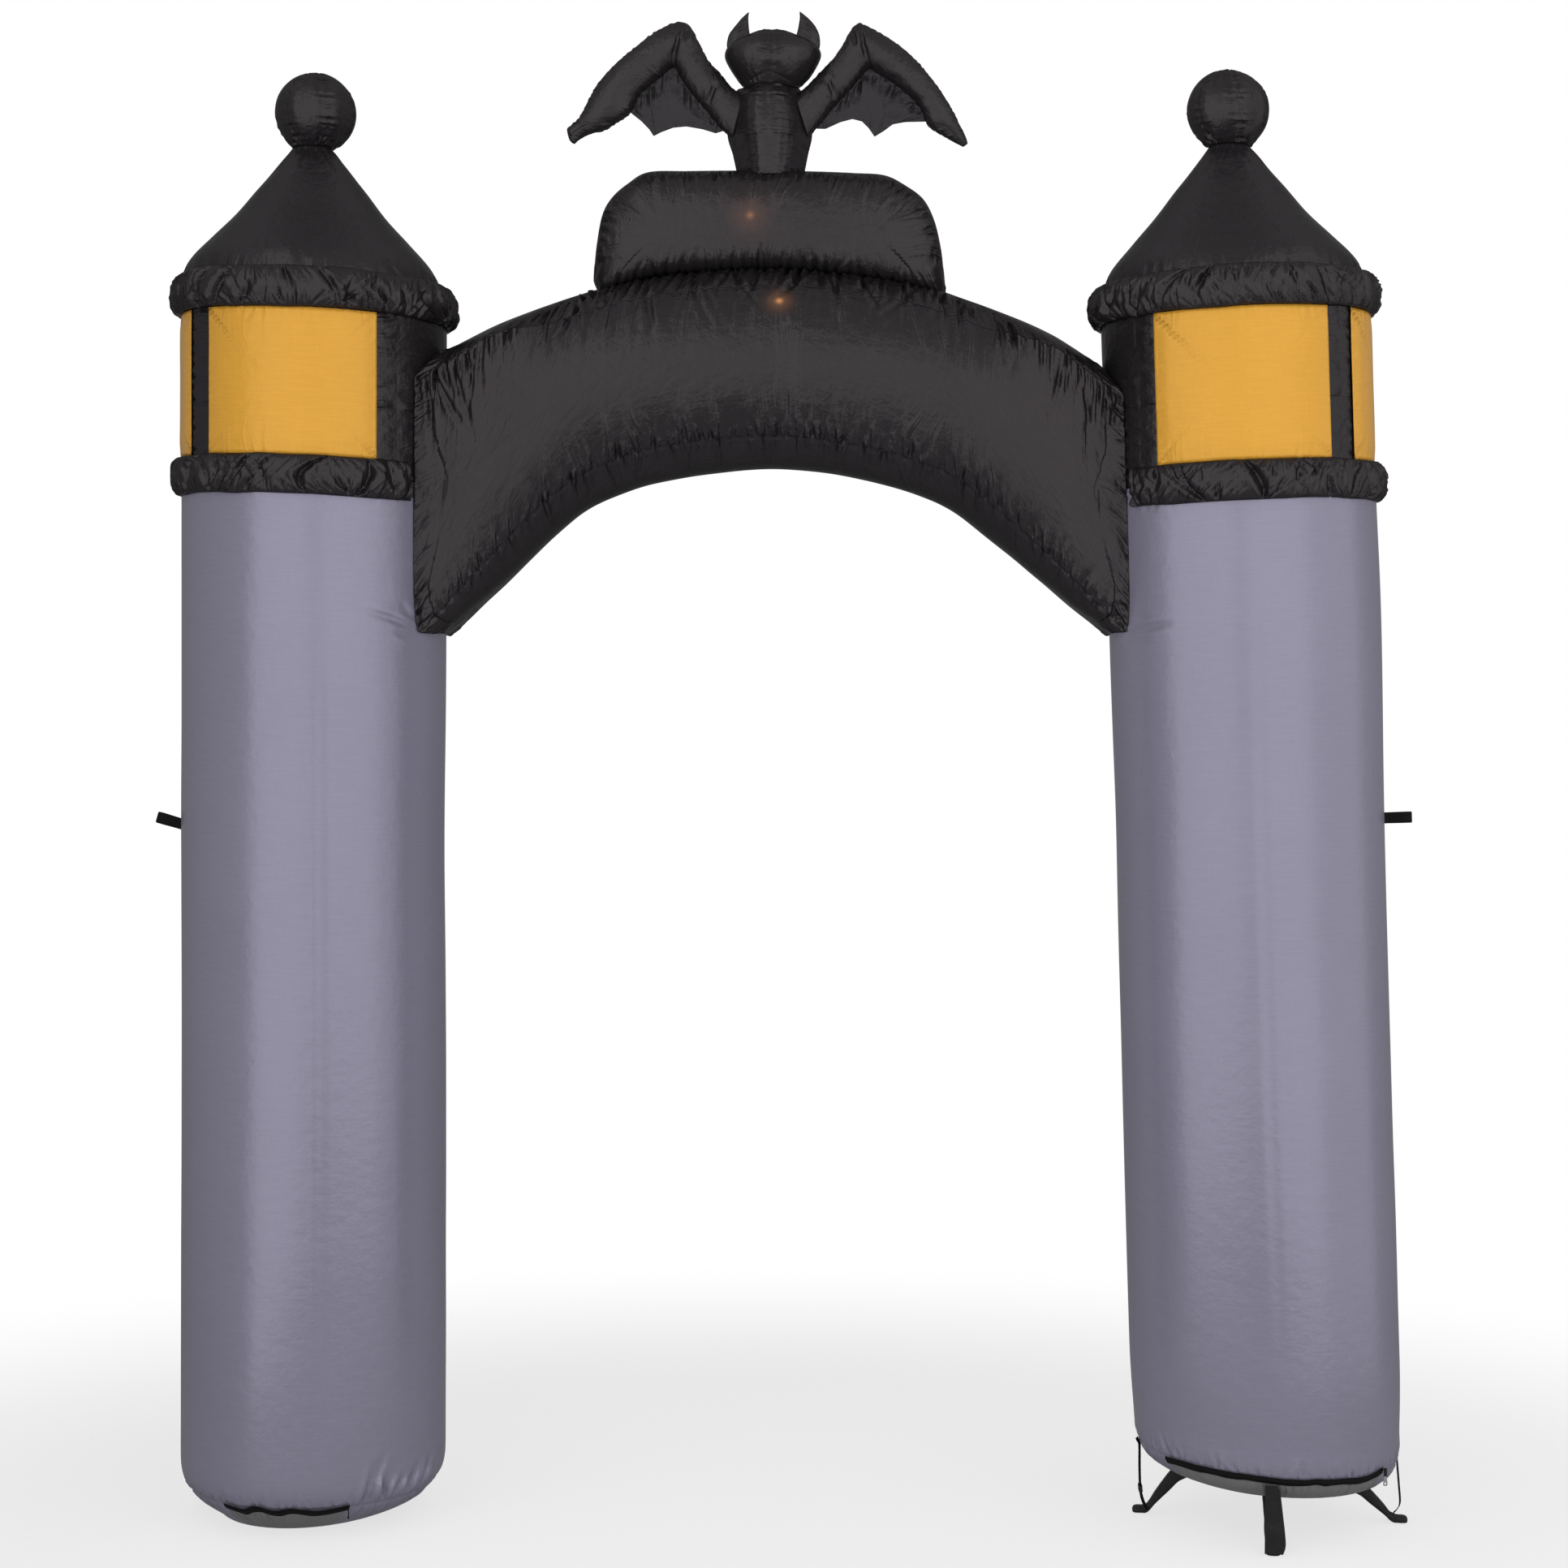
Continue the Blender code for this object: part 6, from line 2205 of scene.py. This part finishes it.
@dataclass
class TetherLoop:
    """Folded webbing for a guy line, sewn on a column's outer side."""

    tower: Tower
    height: float
    tilt: float
    width: float = 0.02
    # reach from the column and half opening, over the loop's upper half
    half: tuple[tuple[float, float], ...] = (
        (0.0, 0.0015), (0.01, 0.0016), (0.021, 0.0032), (0.034, 0.0056), (0.043, 0.0061), (0.0485, 0.0047),
        (0.0512, 0.0018),
    )  # fmt: skip

    def build(self) -> bpy.types.Object:
        """Build the loop, with its eye left open.

        Returns:
            The loop.
        """
        track = Track([*self.half, *((u, -v) for u, v in reversed(self.half))])
        line = track.at(np.linspace(0.0, track.last, 90))
        outward, tilt = self.tower.side.outward, math.radians(self.tilt)
        start = COLUMN_RADIUS + SEWN_GAP + self.width / 2.0 * math.sin(tilt)
        u, v = line[:, 0], line[:, 1]
        x = float(self.tower.axis_x(self.height)) + outward * (start + u * math.cos(tilt))
        path = np.stack([x, v, self.height + u * math.sin(tilt)], axis=-1)
        side = np.array([-outward * math.sin(tilt), 0.0, math.cos(tilt)])
        name = "tether_loop_" + self.tower.side.value
        return strip(name, path, side, self.width, 0.0014, STRAP, name)


@dataclass
class Stand:
    """Blower stand under the right column: hub, four legs, and the straps to two of them."""

    centre: tuple[float, float] = (0.892, 0.022)
    turn: float = -5.0
    hub_radius: float = 0.066
    legs: tuple[tuple[str, float, float, float], ...] = (
        ("rear", 270.0, 0.069, 0.24),
        ("outer", 0.0, 0.065, 0.246),
        ("front", 90.0, 0.069, 0.24),
        ("inner", 180.0, 0.083, 0.246),
    )
    # names and routes of the straps, x and z
    straps: tuple[tuple[str, tuple[tuple[float, float], ...]], ...] = (
        ("inner", ((0.652, 0.147), (0.6545, 0.141), (0.657, 0.134), (0.6572, 0.09), (0.659, 0.05),
                   (0.665, 0.028), (0.672, 0.017))),
        ("outer", ((1.1215, 0.15), (1.1195, 0.133), (1.118, 0.118), (1.1215, 0.07), (1.1236, 0.036),
                   (1.118, 0.023), (1.112, 0.0175))),
    )  # fmt: skip
    strap_twist: float = 19.0
    strap_size: tuple[float, float] = (0.016, 0.0015)
    # reach, height and half width of the rear leg's upright
    upright: tuple[tuple[float, float, float], ...] = (
        (0.2375, 0.004, 0.016), (0.2395, 0.02, 0.018), (0.244, 0.045, 0.0172), (0.25, 0.075, 0.0155),
        (0.256, 0.105, 0.0138), (0.26, 0.123, 0.0122), (0.2612, 0.1275, 0.0085),
    )  # fmt: skip
    # radius and height below the column's bottom, round the hub's outside and its dished underside
    hub_profile: tuple[tuple[float, float], ...] = (
        (0.004, -0.0005), (0.04, -0.0005), (0.0625, -0.0005), (0.0655, -0.003), (0.066, -0.006), (0.066, -0.02),
        (0.0648, -0.0215), (0.063, -0.022), (0.056, -0.022), (0.054, -0.021), (0.0535, -0.014), (0.05, -0.013),
        (0.022, -0.013), (0.0205, -0.014), (0.02, -0.021), (0.018, -0.022), (0.004, -0.022),
    )  # fmt: skip

    def build(self) -> list[bpy.types.Object]:
        """Build the hub, the legs and the straps.

        Returns:
            Every piece of the stand.
        """
        made = [self.hub()] + [self.leg(*row) for row in self.legs] + [self.strut()]
        twist = math.radians(self.strap_twist)
        side = np.array([math.sin(twist), math.cos(twist), 0.0])
        for name, route in self.straps:
            track = Track([(x, 0.0, z) for x, z in route])
            path = track.at(by_length(track, (0, 1, 2), 70))
            node = "leg_strap_" + name
            made.append(strip(node, path, side, *self.strap_size, STRAP, node))
        matrix = Matrix.Translation((0.6584, 0.0, 0.056)) @ Matrix.Rotation(math.radians(-3.3), 4, "Y")
        outlines = [rounded(0.007, 0.023, 0.0016), rounded(0.0032, 0.0176, 0.0008)]
        made.append(plate("strap_slider_inner", outlines, 0.011, 0.0007, matrix, PLASTIC, "strap_slider_inner"))
        return made

    def strut(self) -> bpy.types.Object:
        """Build the upright of the rear leg, in front of the bag's foot.

        Returns:
            The upright.
        """
        turned = math.radians(270.0 + self.turn)
        out = np.array([math.cos(turned), math.sin(turned), 0.0])
        side, up = np.array([-out[1], out[0], 0.0]), np.array([0.0, 0.0, 1.0])
        track = Track(self.upright)
        row = track.at(np.linspace(0.0, track.last, 60))
        turn = circle(36)
        across_it = signed_power(np.cos(turn), 0.35)
        deep = signed_power(np.sin(turn), 0.6) * 0.0034
        deep = deep - 0.0012 * np.exp(-(((np.abs(across_it) - 0.62) / 0.12) ** 2)) * (np.sin(turn) > 0.3)
        middle = np.array([*self.centre, 0.0]) + (row[:, 2:3] - 0.015) * side + row[:, :1] * out + up * row[:, 1:2]
        points = middle[:, None] + (row[:, 2:3] * across_it)[..., None] * side + deep[None, :, None] * out
        cloth = Cloth(points, np.stack(np.broadcast_arrays(row[:, 1:2], across_it[None, :]), axis=-1))
        return dress(cloth.build("stand_leg_rear_upright"), STIPPLED, "stand_leg_rear")

    def hub(self) -> bpy.types.Object:
        """Build the round hub, dished below, its top along the column's sloping bottom.

        Returns:
            The hub.
        """
        turn, row = circle(96), np.array(self.hub_profile)
        x = self.centre[0] + row[:, :1] * np.cos(turn)
        y = self.centre[1] + row[:, :1] * np.sin(turn)
        z = RIGHT.bottom + RIGHT.bottom_slope * (x - float(RIGHT.axis_x(RIGHT.bottom))) + row[:, 1:]
        cloth = Cloth(np.stack([x, y, z], axis=-1), np.stack([x, y], axis=-1))
        return dress(cloth.build("stand_hub"), PLASTIC, "stand_hub")

    def leg(self, name: str, degrees: float, top: float, tip: float) -> bpy.types.Object:
        """One leg, with a rounded foot.

        Args:
            name: Where it points.
            degrees: Its direction.
            top: Height of its middle at the hub.
            tip: How far its foot reaches.

        Returns:
            The leg.
        """
        broad = 1.14 if name == "rear" else 1.0
        # reach, lowest, highest, half width, squareness
        rows = (
            (self.hub_radius + SEWN_GAP, top - 0.006, top + 0.006, 0.0135, 5.0),
            (0.11, top - 0.007, top + 0.0068, 0.0134 * broad, 5.0),
            (0.135, top - 0.009, top + 0.008, 0.0134 * broad, 5.0),
            (0.15, top * 0.8, top + 0.008, 0.0133 * broad, 5.0),
            (0.163, top * 0.71, top * 1.09, 0.0132 * broad, 4.5),
            (0.178, top * 0.52, top * 0.92, 0.0124 * broad, 4.0),
            (0.193, top * 0.34, top * 0.68, 0.0114 * broad**2, 3.6),
            (0.206, top * 0.18, top * 0.45, 0.0104 * broad**2, 3.4),
            (0.214, top * 0.06, top * 0.29, 0.01 * broad**2, 3.2),
            (0.221, 0.0, 0.015, 0.0112 * broad, 3.2),
            (0.228, 0.0, 0.0122, 0.013, 3.2),
            (tip - 0.008, 0.0, 0.0118, 0.0134, 3.2),
            (tip - 0.003, 0.0003, 0.0108, 0.0122, 3.0),
            (tip - 0.0006, 0.0014, 0.009, 0.0095, 2.6),
            (tip, 0.0036, 0.0066, 0.0045, 2.2),
        )
        track = Track(rows)
        row = track.at(by_length(track, (0, 2), 68))
        angle = circle(36)
        power = row[:, 4:5]
        up, wide = signed_power(np.cos(angle), 2.0 / power), signed_power(np.sin(angle), 2.0 / power)
        z = (row[:, 1:2] + row[:, 2:3]) / 2.0 + (row[:, 2:3] - row[:, 1:2]) / 2.0 * up
        groove = 0.0011 * np.exp(-(((np.abs(wide) - 0.55) / 0.16) ** 2)) * (np.cos(angle) > 0.3)
        z = np.maximum(z, 0.0) - groove * ease((0.205 - row[:, :1]) / 0.02)
        reach, side = row[:, :1] + 0.0 * z, row[:, 3:4] * wide
        turned = math.radians(degrees + self.turn)
        x = self.centre[0] + reach * math.cos(turned) - side * math.sin(turned)
        y = self.centre[1] + reach * math.sin(turned) + side * math.cos(turned)
        cloth = Cloth(np.stack([x, y, z], axis=-1), np.stack([reach, side], axis=-1))
        node = "stand_leg_" + name
        return dress(cloth.build(node), STIPPLED, node)


# --------------------------------------------------------------------------- room


@dataclass
class Room:
    """Floor, lamps and camera."""

    studio: Studio
    camera_place: tuple[float, float, float] = (0.269, -5.133, 1.487)
    yaw: float = 2.852
    lens: float = 64.83
    shift: float = -0.0559
    strength: float = 0.87
    panel_height: float = 4.5
    # names, both feet and brightness of the soft panels
    panels: tuple[tuple[str, tuple[float, float], tuple[float, float], float], ...] = (
        ("right_panel", (0.35, -5.0), (2.22, -1.3), 1.0),
        ("right_end_panel", (2.22, -1.3), (2.6, 0.25), 0.55),
        ("left_panel", (0.0, -5.0), (-1.6, -0.95), 1.0),
    )

    def build(self) -> None:
        """The room round the arch."""
        self.floor()
        self.studio.world()
        for row in self.panels:
            self.panel(*row)
        data = bpy.data.cameras.new("camera")
        data.lens, data.sensor_width, data.shift_y = self.lens, 36.0, self.shift
        camera = bpy.data.objects.new("camera", data)
        camera.location = self.camera_place
        camera.rotation_euler = (math.radians(90.0), 0.0, math.radians(self.yaw))
        bpy.context.scene.collection.objects.link(camera)
        bpy.context.scene.camera = camera
        bpy.context.scene.view_settings.view_transform = "Standard"

    def floor(self) -> None:
        """Pale floor round the arch."""
        turn = circle(128)
        radii = np.array([0.0005, 0.6, 1.2, 1.8, 2.4, 3.2])[:, None]
        x, y = radii * np.cos(turn) * 1.2, radii * np.sin(turn)
        points = np.stack([x, y, np.full(x.shape, -0.0006)], axis=-1)
        made = Cloth(points, points[..., :2]).build("floor", Ends.OPEN)
        made.data.materials.append(self.studio.floor_material())

    def panel(self, name: str, start: tuple[float, float], stop: tuple[float, float], share: float) -> None:
        """One upright soft panel between two places on the floor.

        Args:
            name: Name of the lamp.
            start: Foot of its first edge.
            stop: Foot of its other edge.
            share: Its brightness beside the other's.
        """
        data = bpy.data.lights.new(name, "AREA")
        width, height = math.dist(start, stop), self.panel_height
        data.shape, data.size, data.size_y = "RECTANGLE", width, height
        data.energy = self.strength * share * width * height * math.pi
        lamp = bpy.data.objects.new(name, data)
        middle = Vector(((start[0] + stop[0]) / 2.0, (start[1] + stop[1]) / 2.0, height / 2.0))
        across_it = Vector((stop[0] - start[0], stop[1] - start[1], 0.0)).normalized()
        facing = Vector((across_it.y, -across_it.x, 0.0))
        if facing.dot(Vector((0.0, 0.0, middle.z)) - middle) < 0.0:
            facing = -facing
        lamp.location = middle
        lamp.rotation_euler = facing.to_track_quat("-Z", "Y").to_euler()
        bpy.context.scene.collection.objects.link(lamp)


@dataclass(frozen=True)
class SidePlan:
    """How the cloth of one side lies: its folds, gathers and swells."""

    tower: Tower
    folds: tuple[Fold, ...]
    gathered: tuple[tuple[float, float], ...]
    hung: tuple[tuple[float, float], ...]
    slant: float
    lower_roll: tuple[tuple[float, float], ...]
    upper_roll: tuple[tuple[float, float], ...]
    gores: tuple[float, ...]
    swells: tuple[tuple[float, float, float, float], ...]
    loop: tuple[float, float]


PLANS = (
    SidePlan(
        tower=LEFT,
        folds=(
            Fold(((0.063, 0.12), (0.064, 0.9), (0.06, 1.8)), width=0.007, depth=0.0006, lip=0.8),
            Fold(((0.285, 1.606), (0.2605, 1.61), (0.19, 1.632), (0.1206, 1.645)), width=0.006, depth=0.003),
            Fold(((0.28, 1.6), (0.24, 1.6), (0.19, 1.612)), width=0.006, depth=0.0022),
            Fold(((0.27, 1.62), (0.235, 1.64), (0.21, 1.664)), width=0.006, depth=0.0018),
        ),
        gathered=((33.0, 68.0), (150.0, 178.0), (-140.0, -95.0)),
        hung=((40.0, 56.0),),
        slant=0.45,
        lower_roll=(
            (-50.0, 0.6), (-36.0, -0.5), (-21.0, 0.7), (-9.0, -0.4), (6.0, 0.5), (20.0, -0.5), (34.0, 0.4),
            (45.0, -0.3), (55.0, 0.5),
        ),
        upper_roll=(
            (-41.4, 0.5), (-29.7, 0.6), (-15.7, 0.4), (2.3, -0.3), (19.3, -0.5), (25.6, 0.3), (38.9, -0.6),
            (50.5, -0.5), (62.3, -0.7),
        ),
        gores=(30.0, -31.0, 90.0, 150.0, 210.0, 270.0),
        swells=((90.0, 1.24, 0.22, -0.004),),
        loop=(1.251, 16.0),
    ),
    SidePlan(
        tower=RIGHT,
        folds=(
            Fold(((0.002, 0.1), (-0.002, 0.9), (0.001, 1.7)), width=0.008, depth=0.0005, lip=0.8),
            Fold(((-0.295, 1.511), (-0.278, 1.515), (-0.2107, 1.528), (-0.1446, 1.536)), width=0.006, depth=0.0034),
            Fold(((-0.285, 1.5), (-0.25, 1.506), (-0.19, 1.512)), width=0.006, depth=0.0022),
        ),
        gathered=((-58.0, -40.0), (70.0, 100.0), (150.0, 179.0)),
        hung=((-57.0, -34.0), (150.0, 175.0)),
        slant=-0.25,
        lower_roll=(
            (-53.0, -0.5), (-41.0, 0.3), (-27.0, -0.6), (-14.0, 0.4), (2.0, -0.5), (17.0, 0.4), (31.0, -0.5),
            (45.0, 0.5), (57.0, -0.4),
        ),
        upper_roll=(
            (-62.0, 0.7), (-47.0, 0.6), (-34.0, 0.7), (-20.0, 0.5), (-4.7, 0.0), (7.0, -0.5), (20.0, -0.7),
            (33.0, -0.4), (47.0, -0.6),
        ),
        gores=(12.0, -50.0, 72.0, 132.0, 192.0, 250.0),
        swells=((90.0, 1.52, 0.24, 0.005), (-90.0, 1.2, 0.18, -0.003)),
        loop=(1.268, 2.0),
    ),
)  # fmt: skip
ARCH_FOLDS = (
    Fold(((0.02, 2.18), (0.028, 2.09), (0.02, 1.945)), width=0.006, depth=0.004),
    Fold(((0.04, 2.15), (0.036, 2.06), (0.04, 1.99)), width=0.005, depth=0.0028),
    Fold(((-0.226, 2.22), (-0.214, 2.135)), width=0.006, depth=0.0048),
)


def report(*made: bpy.types.Object) -> None:
    """Log each finished piece."""
    for piece in made:
        log.info("%s: %d faces", piece.name, len(piece.data.polygons))


def build_side(plan: SidePlan, seed: int) -> None:
    """Column, rolls, turret, roof and zip of one side.

    Args:
        plan: How its cloth lies.
        seed: Start of its random rows.
    """
    tower, name = plan.tower, plan.tower.side.value
    report(Column(tower, plan.folds, plan.gathered, plan.hung, plan.slant, seed, plan.swells).build())
    lower = Roll(tower, "lower_roll_" + name, tower.joint, seed + 100, LOWER_ROLL_OPENING, plan.lower_roll)
    report(lower.build())
    report(*Turret(tower, seed + 200).build())
    upper = Roll(tower, "upper_roll_" + name, tower.roll + 0.0015, seed + 300, 0.0, plan.upper_roll, 0.036, 0.019)
    report(upper.build())
    report(*Roof(tower, seed + 400, plan.gores).build())
    report(*FootZip(tower, seed + 500).build())


def main() -> None:
    """Build the scene in order."""
    logging.basicConfig(level=logging.INFO, format="%(message)s")
    Room(Studio()).build()
    for order, plan in enumerate(PLANS):
        build_side(plan, 1000 * (order + 1))
    report(Arch(folds=ARCH_FOLDS).build(), Crest().build(), *Bat().build())
    for plan in PLANS:
        report(TetherLoop(plan.tower, *plan.loop).build())
    report(*Stand().build())


if __name__ == "__main__":
    main()
